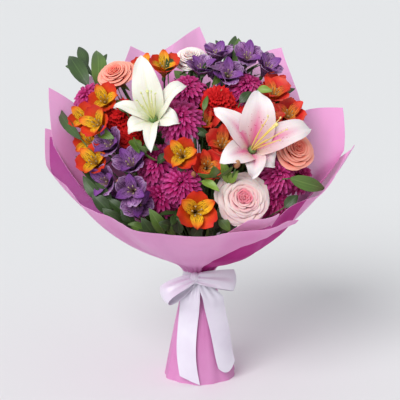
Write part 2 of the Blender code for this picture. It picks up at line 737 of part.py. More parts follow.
def lily_meshes(size):
    """Return a lily's tepals, throat, stamens and pistil as overlapping meshes."""
    meshes = []
    bm = bmesh.new()
    low, high = THROAT_RADII
    bmesh.ops.create_cone(bm, cap_ends=True, segments=TEPAL_COUNT, radius1=low, radius2=high,
                          depth=THROAT_LENGTH,
                          matrix=Matrix.Translation((0, 0, THROAT_LENGTH / 2)))
    core = bpy.data.meshes.new("throat")
    bm.to_mesh(core)
    bm.free()
    meshes.append(core)
    for turn in range(TEPAL_COUNT):
        angle = 2 * math.pi * turn / TEPAL_COUNT
        outward = Vector((math.cos(angle), math.sin(angle), 0))
        side = Vector((-math.sin(angle), math.cos(angle), 0))
        spine, sides, widths = [], [], []
        for row, (radius, height) in enumerate(tepal_spine(size)):
            share = row / (TEPAL_ROWS - 1)
            drop = TEPAL_STAGGER * (turn % 2)
            spine.append(outward * radius + Vector((0, 0, height - drop)))
            sides.append(side)
            full = TEPAL_WIDTH * size * (1.0 if turn % 2 else TEPAL_OUTER_WIDTH)
            widths.append(full * max(math.sin(math.pi * share ** 1.15) ** 0.8, 0.10))
        meshes.append(thick_grid(blade(spine, sides, widths, TEPAL_CUP), TEPAL_THICKNESS))
    start, length, lean, radii = STAMEN
    for turn in range(TEPAL_COUNT):
        angle = 2 * math.pi * (turn + 0.5) / TEPAL_COUNT
        outward = Vector((math.cos(angle), math.sin(angle), 0))
        line = [outward * radii[1] + Vector((0, 0, start)),
                outward * lean + Vector((0, 0, length * size))]
        meshes.append(tube(line, radii, TWIG_SIDES))
    start, length, lean, radii = PISTIL
    line = [Vector((0, 0, start)), Vector((lean, 0, length * size))]
    meshes.append(tube(line, radii, TWIG_SIDES))
    return meshes


def build_lily(bloom, finish):
    """Model a lily in its place."""
    piece = fuse(bloom["name"], lily_meshes(bloom["size"]), finish)
    piece.matrix_world = bloom["frame"]
    return piece


def seat_radius(bloom):
    """Return the radius of a bloom's flat underside, which the stem's end carries."""
    if bloom["kind"] == "lily":
        return THROAT_RADII[0]
    return BLOOM_SHAPES[bloom["kind"]][0][0][0] * bloom["size"]


def stem_end(blooms):
    """Return where a stem's main part ends, its heading there and its bend."""
    axes = [bloom["frame"].col[2].xyz.normalized() for bloom in blooms]
    mean = sum((bloom["frame"].translation for bloom in blooms), Vector()) / len(blooms)
    heading = sum(axes, Vector()).normalized()
    if blooms[0]["kind"] == "sprig":
        return mean, heading, TURN_SPRIG
    if len(blooms) == 1:
        return mean - heading * GAP, heading, TURN_SINGLE
    return mean - heading * FORK_LENGTH, heading, TURN_SPRAY


def stem_lines(carried, slot, sway):
    """Return every line of a stem, as points, radii and sides: its body, then its twigs."""
    end, heading, bend = stem_end(carried)
    if len(carried) > 1:
        end = end + sway / 2
    line = stem_line(slot, end, heading, bend, sway)
    first = carried[0]
    if first["kind"] == "sprig":
        line.append(end + heading * first["reach"] * SPRIG_STEM_SHARE)
        radii = [STEM_RADIUS] * (len(line) - len(SPRIG_STEM_RADII)) + list(SPRIG_STEM_RADII)
        return [(line, radii, STEM_SIDES)]
    if len(carried) == 1:
        tip = max(seat_radius(first), STEM_RADIUS)
        return [(line, [STEM_RADIUS] * (len(line) - 1) + [tip], STEM_SIDES)]
    lines = [(line, [STEM_RADIUS] * (len(line) - 1) + [TWIG_RADIUS], STEM_SIDES)]
    loose = first["kind"] != "alstroemeria"
    start = line[-2]
    for bloom in carried:
        axis = bloom["frame"].col[2].xyz.normalized()
        seat = bloom["frame"].translation + axis * (-GAP if loose else FLORET_SUNK)
        reach = (seat - start).length
        near = seat - axis * CALYX_LENGTH
        middle = bezier(start, start + heading * reach * 0.4, seat - axis * reach * 0.4, near, 0.5)
        tip = seat_radius(bloom) if loose else OVARY_RADIUS
        lines.append(([start, middle, near, seat], [TWIG_RADIUS] * 3 + [tip], TWIG_SIDES))
    return lines


def samples(lines):
    """Return points along the lines above the tie and the room round each of them."""
    places, rooms = [], []
    for line, radii, _ in lines:
        for start, end, radius in zip(line, line[1:], radii):
            count = max(int((end - start).length / SAMPLE_STEP), 1)
            for step in range(count):
                place = start.lerp(end, step / count)
                if place.z > TIE_Z:
                    places.append(place)
                    rooms.append(radius)
    return np.array(places), np.array(rooms)


def crowding(one, other):
    """Return how much two sets of sampled spheres press into each other."""
    away = np.linalg.norm(one[0][:, None] - other[0][None, :], axis=2)
    lack = one[1][:, None] + other[1][None, :] + ROUTE_CLEARANCE - away
    return float(np.square(np.maximum(lack, 0)).sum() * 1e6)


def route(groups):
    """Give each stem a slot at the tie: by direction first, then swap what still crosses."""
    targets = []
    for carried in groups:
        end, heading, bend = stem_end(carried)
        middle = end - heading * bend * (end.z - TIE_Z)
        targets.append(Vector((middle.x, middle.y)))
    slots = share_slots(targets)
    count = len(groups)
    guards = []
    for carried in groups:
        spheres = [ball for bloom in carried for ball in guard_spheres(bloom, bloom["frame"])]
        guards.append((np.array([ball[0] for ball in spheres]),
                       np.array([ball[1] for ball in spheres])))
    sways = [Vector((0, 0, 0))]
    for size in SWAY_SIZES:
        for turn in range(SWAY_TURNS):
            angle = 2 * math.pi * turn / SWAY_TURNS
            sways.append(Vector((size * math.cos(angle), size * math.sin(angle), 0)))
    drawn, pressed = {}, {}

    def draw(stem, slot, sway):
        if (stem, slot, sway) not in drawn:
            lines = stem_lines(groups[stem], slots[slot], sways[sway])
            drawn[stem, slot, sway] = samples(lines)
        return drawn[stem, slot, sway]

    def strain(stem, plan):
        total = 0.0
        for other in range(count):
            if other == stem:
                continue
            pair = (min(stem, other), plan[min(stem, other)],
                    max(stem, other), plan[max(stem, other)])
            if pair not in pressed:
                pressed[pair] = crowding(draw(pair[0], *pair[1]), draw(pair[2], *pair[3]))
            own = (stem, plan[stem], other)
            if own not in pressed:
                pressed[own] = crowding(draw(stem, *plan[stem]), guards[other])
            total += pressed[pair] + pressed[own]
        return total

    plan = [(stem, 0) for stem in range(count)]
    for _ in range(ROUTE_ROUNDS):
        strains = [strain(stem, plan) for stem in range(count)]
        worst = sorted(range(count), key=lambda stem: -strains[stem])[:ROUTE_WORST]
        for stem in worst:
            now = strain(stem, plan)
            if now < ROUTE_ENOUGH:
                continue
            trials = []
            for sway in range(len(sways)):
                trial = list(plan)
                trial[stem] = (plan[stem][0], sway)
                trials.append((strain(stem, trial) - now, trial))
            for other in range(count):
                trial = list(plan)
                trial[stem] = (plan[other][0], plan[stem][1])
                trial[other] = (plan[stem][0], plan[other][1])
                before = now + strain(other, plan)
                after = strain(stem, trial) + strain(other, trial)
                trials.append((after - before, trial))
            gain, trial = min(trials, key=lambda entry: entry[0])
            if gain < -ROUTE_ENOUGH:
                plan = trial
    return [(slots[slot], sways[sway]) for slot, sway in plan]


def build_stem(name, carried, slot, sway, finish):
    """Model one stem with its twigs, and with its florets or leaves where it has them."""
    meshes = []
    for number, (line, radii, sides) in enumerate(stem_lines(carried, slot, sway)):
        mesh = tube(line, radii, sides)
        meshes.append(mesh if number else cut_flat(mesh))
    for bloom in carried:
        if bloom["kind"] == "alstroemeria":
            rings, petals, steps = BLOOM_SHAPES["alstroemeria"]
            mesh = ring_solid(rings, petals, steps, bloom["size"])
            mesh.transform(bloom["frame"])
            meshes.append(mesh)
        if bloom["kind"] == "sprig":
            meshes += sprig_meshes(bloom)
    return fuse(name, meshes, finish)


def sprig_meshes(bloom):
    """Return the leaves of a sprig in their place."""
    meshes = []
    for leaf in SPRIG_LEAVES:
        root, way, across = sprig_leaf(bloom, *leaf)
        over = Vector((0, 1, 0))
        spine, sides, widths = [], [], []
        for row in range(LEAF_ROWS):
            share = row / (LEAF_ROWS - 1)
            arch = over * bloom["size"] * (0.10 * math.sin(math.pi * share) - 0.06 * share)
            spine.append(root + way * bloom["size"] * share + arch)
            sides.append(across)
            widths.append(bloom["width"] * max(math.sin(math.pi * share ** 0.8), 0.12))
        mesh = thick_grid(blade(spine, sides, widths, LEAF_CUP), LEAF_THICKNESS)
        mesh.transform(bloom["frame"])
        meshes.append(mesh)
    return meshes


def rim_share(corners, angle):
    """Return the rim's share at an angle, on straight lines between the corners."""
    for (first, low), (last, high) in zip(corners, corners[1:]):
        if angle <= last:
            return low + (high - low) * (angle - first) / (last - first)
    return corners[-1][1]


def build_sheet(sheet, finish):
    """Model one paper sheet of the wrap, its rim cut to its own corners."""
    name, layer, corners = sheet
    first = corners[0][0]
    columns = round((corners[-1][0] - first) / WRAP_STEP)
    rows = []
    for share in WRAP_ROWS:
        row = []
        for column in range(columns + 1):
            angle = first + WRAP_STEP * column
            reach = rim_share(corners, angle)
            row.append(wrap_point(math.radians(angle), share * reach, layer + 0.5))
        rows.append(row)
    return add_object(name, thick_grid(rows, PAPER), finish)


def foot_radius(height):
    """Return the paper foot's middle radius at a height: a cone that flares to the table."""
    share = 1 - height / FOOT_TOP_Z
    return NECK[0] + FOOT_ROOM + (FOOT_RADIUS - NECK[0]) * share ** 0.9


def build_foot(finish):
    """Model the paper foot: a flared sleeve, open at both ends, its edge on the table."""
    bm = bmesh.new()
    loops = []
    heights = (0.0, FOOT_TOP_Z * 0.5, FOOT_TOP_Z)
    walls = [(height, PAPER / 2) for height in heights]
    walls += [(height, -PAPER / 2) for height in reversed(heights)]
    for height, side in walls:
        loop = []
        for column in range(FOOT_COLUMNS):
            angle = 2 * math.pi * column / FOOT_COLUMNS
            ripple = FOOT_RIPPLE * (1 - height / FOOT_TOP_Z) * math.cos(FOOT_RIPPLES * angle)
            radius = foot_radius(height) + side + ripple
            loop.append(bm.verts.new((radius * math.cos(angle), radius * math.sin(angle), height)))
        loops.append(loop)
    for lower, upper in zip(loops, loops[1:] + loops[:1]):
        for column in range(FOOT_COLUMNS):
            following = (column + 1) % FOOT_COLUMNS
            bm.faces.new((lower[column], lower[following], upper[following], upper[column]))
    bmesh.ops.recalc_face_normals(bm, faces=bm.faces)
    mesh = bpy.data.meshes.new("wrap_foot")
    bm.to_mesh(mesh)
    bm.free()
    return add_object("wrap_foot", mesh, finish)


def turned_band(name, radius, thickness, low, high, columns):
    """Return a short open ring with a rectangular section."""
    bm = bmesh.new()
    loops = []
    section = ((radius, low), (radius + thickness, low), (radius + thickness, high),
               (radius, high))
    for wide, height in section:
        loop = []
        for column in range(columns):
            angle = 2 * math.pi * column / columns
            loop.append(bm.verts.new((wide * math.cos(angle), wide * math.sin(angle), height)))
        loops.append(loop)
    for lower, upper in zip(loops, loops[1:] + loops[:1]):
        for column in range(columns):
            following = (column + 1) % columns
            bm.faces.new((lower[column], lower[following], upper[following], upper[column]))
    bmesh.ops.recalc_face_normals(bm, faces=bm.faces)
    mesh = bpy.data.meshes.new(name)
    bm.to_mesh(mesh)
    bm.free()
    return mesh


def ribbon_strip(points, wide, width):
    """Return a ribbon strip along points, its width along the given direction."""
    rows = []
    for place in points:
        half = wide.normalized() * width / 2
        rows.append([place - half, place + half])
    return thick_grid(rows, RIBBON_THICKNESS)


def build_ribbon(finish):
    """Model the ribbon: a band round the neck, a knot, two loops and two long tails."""
    meshes = [turned_band("band", BAND_RADIUS, BAND_THICKNESS, BAND_LOW_Z, BAND_HIGH_Z,
                          BAND_COLUMNS)]
    bm = bmesh.new()
    bmesh.ops.create_icosphere(bm, subdivisions=1, radius=1)
    bmesh.ops.scale(bm, verts=bm.verts, vec=KNOT)
    bmesh.ops.translate(bm, verts=bm.verts, vec=KNOT_PLACE)
    knot = bpy.data.meshes.new("knot")
    bm.to_mesh(knot)
    bm.free()
    meshes.append(knot)
    for hand, reach, droop in LOOPS:
        outward = Vector((hand * math.cos(droop), -LOOP_FORWARD, -math.sin(droop)))
        wide = Vector((hand * math.sin(droop), 0, math.cos(droop)))
        points = []
        for step in range(LOOP_STEPS):
            turn = 2 * math.pi * step / LOOP_STEPS
            along = outward * reach * 0.5 * (1 - math.cos(turn))
            points.append(KNOT_PLACE + along + Vector((0, -LOOP_BULGE * math.sin(turn), 0)))
        meshes.append(ribbon_strip(points, wide, LOOP_WIDTH))
    for angles, low in TAILS:
        points = []
        for step, angle in enumerate(angles):
            height = TAIL_TOP_Z - (TAIL_TOP_Z - low) * step / (len(angles) - 1)
            radius = max(foot_radius(height), BAND_RADIUS) + TAIL_CLEARANCE
            points.append(Vector((radius * math.sin(angle), -radius * math.cos(angle), height)))
        side = Vector((math.cos(angles[-1]), math.sin(angles[-1]), 0))
        meshes.append(ribbon_strip(points, side, RIBBON_WIDTH))
    return fuse("ribbon", meshes, finish)


def main():
    """Build the bouquet."""
    clear_scene()
    blooms = lay_out()
    stems = {}
    for bloom in blooms:
        stems.setdefault(bloom["stem"], []).append(bloom)
    routes = route(list(stems.values()))
    for (name, carried), (slot, sway) in zip(stems.items(), routes):
        finish = material("stem", "stem")
        if carried[0]["kind"] == "alstroemeria":
            finish = material("petal", name.split("_")[1])
        if carried[0]["kind"] == "sprig":
            finish = material("leaf", "leaf")
        build_stem(name, carried, slot, sway, finish)
    for bloom in blooms:
        if bloom["kind"] in ("alstroemeria", "sprig"):
            continue
        shade = bloom["name"] if bloom["name"] in COLOURS else bloom["kind"]
        finish = material("petal", shade)
        if bloom["kind"] == "lily":
            build_lily(bloom, finish)
        else:
            build_bloom(bloom, finish)
    paper = material("paper", "paper")
    for sheet in SHEETS:
        build_sheet(sheet, paper)
    build_foot(paper)
    band = turned_band("tie", TIE_INNER_RADIUS, TIE_THICKNESS, TIE_LOW_Z, TIE_HIGH_Z, TIE_COLUMNS)
    add_object("tie", band, material("twine", "twine"))
    build_ribbon(material("ribbon", "ribbon"))


main()
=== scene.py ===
# %% [markdown]
# # A wrapped bouquet
# This lesson dresses the solid model of a hand-tied bouquet: lilies, roses, chrysanthemums,
# carnations, alstroemerias and leaves in flared lilac paper with a white satin bow.
# The solid model is loaded as a fixed frame. It says where every bloom sits, which way it
# faces and how large it is, so each new piece is made around what is read from it.
# %% Load the frame
import json
import math
import random

import bpy
import numpy as np
from mathutils import Matrix, Vector, noise

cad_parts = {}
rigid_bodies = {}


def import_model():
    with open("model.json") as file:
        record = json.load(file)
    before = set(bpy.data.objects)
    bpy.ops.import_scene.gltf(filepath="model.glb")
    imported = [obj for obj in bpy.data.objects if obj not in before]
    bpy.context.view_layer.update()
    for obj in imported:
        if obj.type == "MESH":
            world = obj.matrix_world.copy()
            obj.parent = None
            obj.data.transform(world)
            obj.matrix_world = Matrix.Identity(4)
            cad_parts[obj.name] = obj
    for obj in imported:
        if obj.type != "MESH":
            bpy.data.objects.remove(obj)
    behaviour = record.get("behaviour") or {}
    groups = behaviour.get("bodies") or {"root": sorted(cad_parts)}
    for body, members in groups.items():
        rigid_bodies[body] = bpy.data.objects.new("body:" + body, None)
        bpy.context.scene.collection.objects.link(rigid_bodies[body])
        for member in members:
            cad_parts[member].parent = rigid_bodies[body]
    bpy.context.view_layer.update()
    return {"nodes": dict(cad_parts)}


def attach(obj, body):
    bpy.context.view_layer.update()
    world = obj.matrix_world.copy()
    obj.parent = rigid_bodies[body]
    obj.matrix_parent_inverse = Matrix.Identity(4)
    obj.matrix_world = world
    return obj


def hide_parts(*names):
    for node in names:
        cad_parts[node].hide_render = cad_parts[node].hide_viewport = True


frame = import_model()
nodes = frame["nodes"]
UP = Vector((0, 0, 1))
print("nodes", len(nodes))

# %% [markdown]
# ## Shader recipes
# Petals, leaves and paper all need a colour that changes along the piece, a finer pattern on
# top, and a little relief. A recipe is a material in the making: each method adds one node,
# links or sets its inputs and returns an output, so that a finish reads like a list.
# %% Recipes


class Recipe:
    """A material in the making."""

    def __init__(self, name, roughness):
        self.material = bpy.data.materials.new(name)
        self.material.use_nodes = True
        self.tree = self.material.node_tree
        self.shader = self.tree.nodes["Principled BSDF"]
        self.shade({"Roughness": roughness})

    def wire(self, node, inputs):
        """Link or set a node's inputs."""
        for key, value in inputs.items():
            if isinstance(value, bpy.types.NodeSocket):
                self.tree.links.new(value, node.inputs[key])
            else:
                node.inputs[key].default_value = value
        return node

    def shade(self, inputs):
        """Link or set the shader's inputs and return the material."""
        self.wire(self.shader, inputs)
        return self.material

    def add(self, kind, inputs, output=0, **settings):
        """Add a node and return one of its outputs."""
        node = self.tree.nodes.new("ShaderNode" + kind)
        for key, value in settings.items():
            setattr(node, key, value)
        return self.wire(node, inputs).outputs[output]

    def times(self, first, second):
        """Multiply two values."""
        return self.add("Math", {0: first, 1: second}, operation="MULTIPLY")

    def off_centre(self, across):
        """Return how far a place lies from the middle of its piece."""
        shift = self.add("Math", {0: across, 1: 0.5}, operation="SUBTRACT")
        return self.add("Math", {0: shift}, operation="ABSOLUTE")

    def ranged(self, value, low, high, to_low=0.0, to_high=1.0):
        """Map a value from one range to another and clamp it there."""
        return self.add("MapRange", {0: value, 1: low, 2: high, 3: to_low, 4: to_high})

    def fading(self, value, low, high):
        """Let a value fade from 1 at the low end of its range to 0 at the high end."""
        return self.ranged(value, low, high, 1.0, 0.0)

    def mix(self, share, first, second, way="MIX"):
        """Mix two colours, each an output or a plain colour."""
        inputs = {0: share}
        for index, value in ((6, first), (7, second)):
            inputs[index] = value if isinstance(value, bpy.types.NodeSocket) else (*value, 1)
        return self.add("Mix", inputs, 2, data_type="RGBA", blend_type=way)

    def ramp(self, share, stops):
        """Return a colour from stops, each a place and three values of colour."""
        colour = self.add("ValToRGB", {0: share})
        elements = colour.node.color_ramp.elements
        while len(elements) < len(stops):
            elements.new(1.0)
        for element, (place, *shade) in zip(elements, stops):
            element.position = place
            element.color = (*shade, 1)
        return colour

    def noise(self, vector, scale, detail=3.0):
        """Return a cloudy value between 0 and 1."""
        return self.add("TexNoise", {"Vector": vector, "Scale": scale, "Detail": detail})

    def stretched(self, vector, scale):
        """Scale a vector unevenly."""
        return self.add("Mapping", {"Vector": vector, "Scale": scale})

    def streaks(self, vector, scale, detail=3.0):
        """Return a noise that is drawn out into streaks."""
        return self.noise(self.stretched(vector, scale), 1.0, detail)

    def own_map(self):
        """Return the piece's own map: the vector, across from 0 to 1, along from 0 to 1."""
        source = self.add("UVMap", {}, uv_map="UVMap")
        parts = self.add("SeparateXYZ", {0: source}).node.outputs
        return source, parts["X"], parts["Y"]

    def place(self):
        """Return object coordinates, which are metres in the frame."""
        return self.add("TexCoord", {}, "Object")

    def relief(self, height, strength, distance):
        """Give the shader a bump."""
        inputs = {"Height": height, "Strength": strength, "Distance": distance}
        self.shade({"Normal": self.add("Bump", inputs)})


# %% [markdown]
# ## Camera, floor and light
# The bouquet was seen from a little above, at about a dozen degrees. A long lens keeps the
# proportions calm. The floor is pale and reaches past the frame, so it is the backdrop too.
# A soft sun high on the left models the petals, and a pale sky fills the shadows.
# %% Camera
EYE = Vector((0.0, -1.68, 0.645))
LOOK_AT = Vector((0.00075, 0.0, 0.273))
HALF_VIEW = math.atan(200 / 1147)
SENSOR = 36.0


def aimed(name, data, heading):
    """Add a camera or a light that points along a heading."""
    made = bpy.data.objects.new(name, data)
    bpy.context.scene.collection.objects.link(made)
    made.rotation_euler = heading.to_track_quat("-Z", "Y").to_euler()
    return made


lens = bpy.data.cameras.new("camera")
lens.sensor_width = SENSOR
lens.lens = SENSOR / 2 / math.tan(HALF_VIEW)
camera = aimed("camera", lens, LOOK_AT - EYE)
camera.location = EYE
bpy.context.scene.camera = camera
print("lens", round(lens.lens, 1), "mm")

# %% Floor, sky and sun
FLOOR_SIZE = 80.0
FLOOR_COLOUR = (0.755, 0.76, 0.765, 1)
WORLD = {"Color": (0.86, 0.88, 0.90, 1), "Strength": 0.70}
# The sun: where it stands, its strength, and its width, which softens the shadows
SUN_FROM = Vector((-0.44, -0.76, 0.68))
SUN_STRENGTH = 2.35
SUN_WIDTH = math.radians(36)


def deselect():
    """Leave object mode and deselect everything."""
    if bpy.context.object and bpy.context.object.mode != "OBJECT":
        bpy.ops.object.mode_set(mode="OBJECT")
    bpy.ops.object.select_all(action="DESELECT")


deselect()
bpy.ops.mesh.primitive_plane_add(size=FLOOR_SIZE, location=(0, 0, 0))
floor = bpy.context.object
floor.name = "floor"
floor.data.materials.append(Recipe("floor", 0.7).shade({"Base Color": FLOOR_COLOUR}))

world = bpy.data.worlds.new("studio")
world.use_nodes = True
for key, value in WORLD.items():
    world.node_tree.nodes["Background"].inputs[key].default_value = value
bpy.context.scene.world = world
bpy.context.scene.view_settings.view_transform = "Standard"

light = bpy.data.lights.new("sun", "SUN")
light.energy = SUN_STRENGTH
light.angle = SUN_WIDTH
aimed("sun", light, -SUN_FROM)

# %% [markdown]
# ## Petal finish
# A real petal is darker and greener at its root, paler or deeper at its rim, streaked along
# its length by fine veins, and never even. The colour therefore follows the petal's own map
# from root to tip, the veins are a noise drawn out along it, and a slow cloud in object space
# makes one bloom differ from the next. A rib, streaks or freckles are added where a flower
# has them.
# %% Petal finish
VEINS_ACROSS = 34.0
VEINS_ALONG = 2.2
CLOUD_SCALE = 28.0


def petal_finish(name, stops, roughness=0.55, rib=None, freckles=None, streaks=None,
                 vein_depth=0.14, cloud_depth=0.22, glow=0.0, gloss=0.25):
    """Make a petal material. rib, freckles and streaks are a colour with its own places."""
    recipe = Recipe(name, roughness)
    source, across, along = recipe.own_map()
    colour = recipe.ramp(along, stops)
    off_centre = recipe.off_centre(across)
    if rib:
        rib_colour, width, start, end = rib
        near = recipe.times(recipe.fading(off_centre, 0.0, width),
                            recipe.fading(along, start, end))
        colour = recipe.mix(near, colour, rib_colour)
    if streaks:
        streak_colour, start, end = streaks
        lines = recipe.ranged(recipe.streaks(source, (22, 5, 1), 1.0), 0.56, 0.60)
        window = recipe.times(recipe.ranged(along, start, start + 0.08),
                              recipe.fading(along, end - 0.12, end))
        colour = recipe.mix(recipe.times(lines, window), colour, streak_colour)
    if freckles:
        freckle_colour, reach = freckles
        cells = recipe.add("TexVoronoi", {"Vector": recipe.stretched(source, (13, 26, 1)),
                                          "Scale": 1.0})
        window = recipe.times(recipe.fading(along, reach, reach + 0.15),
                              recipe.fading(off_centre, 0.22, 0.34))
        dots = recipe.times(recipe.fading(cells, 0.16, 0.22), window)
        colour = recipe.mix(dots, colour, freckle_colour)
    veins = recipe.streaks(source, (VEINS_ACROSS, VEINS_ALONG, 1))
    cloud = recipe.noise(recipe.place(), CLOUD_SCALE)
    shade = recipe.times(recipe.ranged(veins, 0.3, 0.7, 1.0 - vein_depth, 1.0),
                         recipe.ranged(cloud, 0.3, 0.7, 1.0 - cloud_depth, 1.0 + cloud_depth / 2))
    grey = recipe.add("CombineColor", {0: shade, 1: shade, 2: shade})
    recipe.relief(veins, 0.25, 0.0006)
    return recipe.shade({"Base Color": recipe.mix(1.0, colour, grey, "MULTIPLY"),
                         "Subsurface Weight": glow, "Subsurface Scale": 0.004,
                         "Specular IOR Level": gloss})


# %% [markdown]
# ## Where the blooms are
# Every bloom of the solid model has a flat spot on its axis: the underside of a head, the
# rim of a floret's throat, or the cut end of the stem that carries a single bloom. The flat
# spot's normal is the bloom's axis. Its size is read from the farthest petal tip, and that
# tip also says how the bloom is turned.
# %% Read the flat spots
SAME_PLANE = 1e-4
SAME_WAY = 0.9995


def flat_spots(name):
    """Return the flat patches of a node, each with its normal, area, centre and corners."""
    mesh = nodes[name].data
    spots = []
    for face in mesh.polygons:
        offset = face.normal.dot(face.center)
        for spot in spots:
            level = abs(spot["offset"] - offset) < SAME_PLANE
            if level and spot["way"].dot(face.normal) > SAME_WAY:
                break
        else:
            spot = {"way": face.normal.copy(), "offset": offset, "area": 0.0, "faces": 0,
                    "moment": Vector(), "corners": []}
            spots.append(spot)
        spot["area"] += face.area
        spot["faces"] += 1
        spot["moment"] += face.center * face.area
        spot["corners"] += [mesh.vertices[index].co.copy() for index in face.vertices]
    for spot in spots:
        spot["centre"] = spot["moment"] / spot["area"]
    return spots


def stand(base, axis, toward):
    """Return the matrix that puts the origin at base, Z along axis and X toward a point."""
    side = toward - base
    side = (side - axis * side.dot(axis)).normalized()
    turn = Matrix((side, axis.cross(side), axis)).transposed().to_4x4()
    return Matrix.Translation(base) @ turn


def head_frame(name):
    """Return a head's matrix and its radius, from its flat underside."""
    spots = [spot for spot in flat_spots(name) if spot["faces"] > 3 and spot["way"].y > 0.3]
    spot = max(spots, key=lambda entry: entry["area"])
    return bloom_reach(name, spot["centre"], -spot["way"])


def single_frame(name):
    """Return a single bloom's matrix and its radius, from the end of its stem."""
    spots = [spot for spot in flat_spots(name + "_stem") if spot["faces"] > 3]
    spot = max(spots, key=lambda entry: entry["centre"].z)
    return bloom_reach(name, spot["centre"], spot["way"])


def bloom_reach(name, base, axis):
    """Finish a bloom's matrix with its farthest petal tip."""
    axis = axis.normalized()
    tip = max((corner.co for corner in nodes[name].data.vertices),
              key=lambda place: (place - base).cross(axis).length)
    return stand(base, axis, tip), (tip - base).cross(axis).length


# %% [markdown]
# ## Petals by hand
# A petal starts as a flat grid, one unit wide and one unit long, which brings its own map.
# A rule bends it: it takes a place across (-1 to 1) and along (0 to 1) and says where that
# point of the petal lies. A Solidify modifier then gives it its thickness. Bloom axes point
# up, and a petal grows out along +X.
# %% Grids, copies and joins
CRISP = math.radians(55)


def paint(piece, finish):
    """Give a piece one material."""
    piece.data.materials.clear()
    piece.data.materials.append(finish)
    return piece


def rename(piece, name):
    """Name a piece and its mesh."""
    piece.name = name
    piece.data.name = name
    return piece


def use(piece):
    """Select a piece alone and make it the active one."""
    deselect()
    piece.select_set(True)
    bpy.context.view_layer.objects.active = piece


def edit(piece):
    """Select a piece alone, and all of it in edit mode."""
    use(piece)
    bpy.ops.object.mode_set(mode="EDIT")
    bpy.ops.mesh.select_all(action="SELECT")


def turn_outward():
    """Turn all faces outward and go back to object mode."""
    bpy.ops.mesh.select_all(action="SELECT")
    bpy.ops.mesh.normals_make_consistent(inside=False)
    bpy.ops.object.mode_set(mode="OBJECT")


def blade(name, columns, rows, rule, thickness, finish):
    """Bend a grid by a rule of across and along, and thicken it with a crisp cut rim."""
    deselect()
    bpy.ops.mesh.primitive_grid_add(x_subdivisions=columns, y_subdivisions=rows, size=1)
    piece = bpy.context.object
    piece.name = name
    for corner in piece.data.vertices:
        corner.co = rule(2 * corner.co.x, corner.co.y + 0.5)
    wall = piece.modifiers.new("thickness", "SOLIDIFY")
    wall.thickness = thickness
    wall.offset = 0.0
    bpy.ops.object.modifier_apply(modifier=wall.name)
    bpy.ops.object.mode_set(mode="EDIT")
    turn_outward()
    bpy.ops.object.shade_smooth()
    piece.data.set_sharp_from_angle(angle=CRISP)
    return paint(piece, finish)


def copy_of(piece, matrix):
    """Copy a piece with a mesh of its own and set it in place."""
    twin = piece.copy()
    twin.data = piece.data.copy()
    twin.data.transform(matrix)
    bpy.context.scene.collection.objects.link(twin)
    return twin


def join(pieces, name):
    """Join pieces into one object with one map."""
    deselect()
    for piece in pieces:
        piece.select_set(True)
        if not piece.data.uv_layers:
            piece.data.uv_layers.new(name="UVMap")
    bpy.context.view_layer.objects.active = pieces[0]
    bpy.ops.object.join()
    return rename(pieces[0], name)


def settle_in(piece, slot, *replaced):
    """Let a finished piece ride with the bouquet and hide the nodes it replaces; its slot is not
    used.
    """
    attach(piece, "root")
    if replaced:
        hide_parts(*replaced)
    return piece


def petal_slot(name):
    """Return the slot of a bloom's petals, from the first two words of its name."""
    return "petal_" + "_".join(name.split("_")[:2])


def turned(profile, sides, finish):
    """Turn a profile: a circle is extruded and scaled from ring to ring, then smoothed."""
    deselect()
    wide, height = profile[0]
    bpy.ops.mesh.primitive_circle_add(vertices=sides, radius=wide, fill_type="NGON",
                                      location=(0, 0, height))
    piece = bpy.context.object
    bpy.ops.object.transform_apply(location=True)
    edit(piece)
    for (before, low), (after, high) in zip(profile, profile[1:]):
        bpy.ops.mesh.extrude_region_move(TRANSFORM_OT_translate={"value": (0, 0, high - low)})
        ratio = after / before
        bpy.ops.transform.resize(value=(ratio, ratio, 1), center_override=(0, 0, high))
    turn_outward()
    bpy.ops.object.shade_smooth()
    return paint(piece, finish)


def curve_point(points, share):
    """Return the point of a cubic curve at a share of its way."""
    rest = 1 - share
    start, pull, push, end = points
    return (start * rest ** 3 + pull * (3 * rest * rest * share)
            + push * (3 * rest * share * share) + end * share ** 3)


def strand(points, radii, finish, resolution=1):
    """Draw a thin round strand through points and make it a mesh."""
    curve = bpy.data.curves.new("strand", "CURVE")
    curve.dimensions = "3D"
    curve.bevel_depth = 1.0
    curve.bevel_resolution = resolution
    curve.use_fill_caps = True
    line = curve.splines.new("POLY")
    line.points.add(len(points) - 1)
    for knot, place, radius in zip(line.points, points, radii):
        knot.co = (*place, 1)
        knot.radius = radius
    piece = bpy.data.objects.new("strand", curve)
    bpy.context.scene.collection.objects.link(piece)
    use(piece)
    bpy.ops.object.convert(target="MESH")
    edit(piece)
    bpy.ops.mesh.remove_doubles(threshold=1e-6)
    turn_outward()
    bpy.ops.object.shade_smooth()
    return paint(piece, finish)


def curved_strand(ends, radii, finish):
    """Draw a strand along a cubic curve, in as many steps as there are radii."""
    steps = len(radii) - 1
    points = [curve_point(ends, step / steps) for step in range(steps + 1)]
    return strand(points, radii, finish), points[-1]


def around(angle):
    """Return the matrix that turns a petal round its bloom's axis."""
    return Matrix.Rotation(angle, 4, "Z")


def on_midline(points, along, lift, side, out=0.0, up=0.0):
    """Return a petal's point: lifted off its midline, set to the side, and shifted."""
    place = curve_point(points, along)
    ahead = curve_point(points, min(along + 0.02, 1.0)) - curve_point(points, along - 0.02)
    normal = Vector((-ahead.y, ahead.x)).normalized()
    return Vector((place.x + normal.x * lift + out, side, place.y + normal.y * lift + up))


def outline(along, fullest, power):
    """Return a blade's share of its full width: narrow at its root, pointed at its tip."""
    return max(math.sin(math.pi * min(0.05 + 0.95 * along ** fullest, 1.0)) ** power, 0.03)


def round_end(along, start, length):
    """Return the share of the width that a round tip leaves."""
    return math.sqrt(max(1 - (max(along - start, 0) / length) ** 2, 0.02))


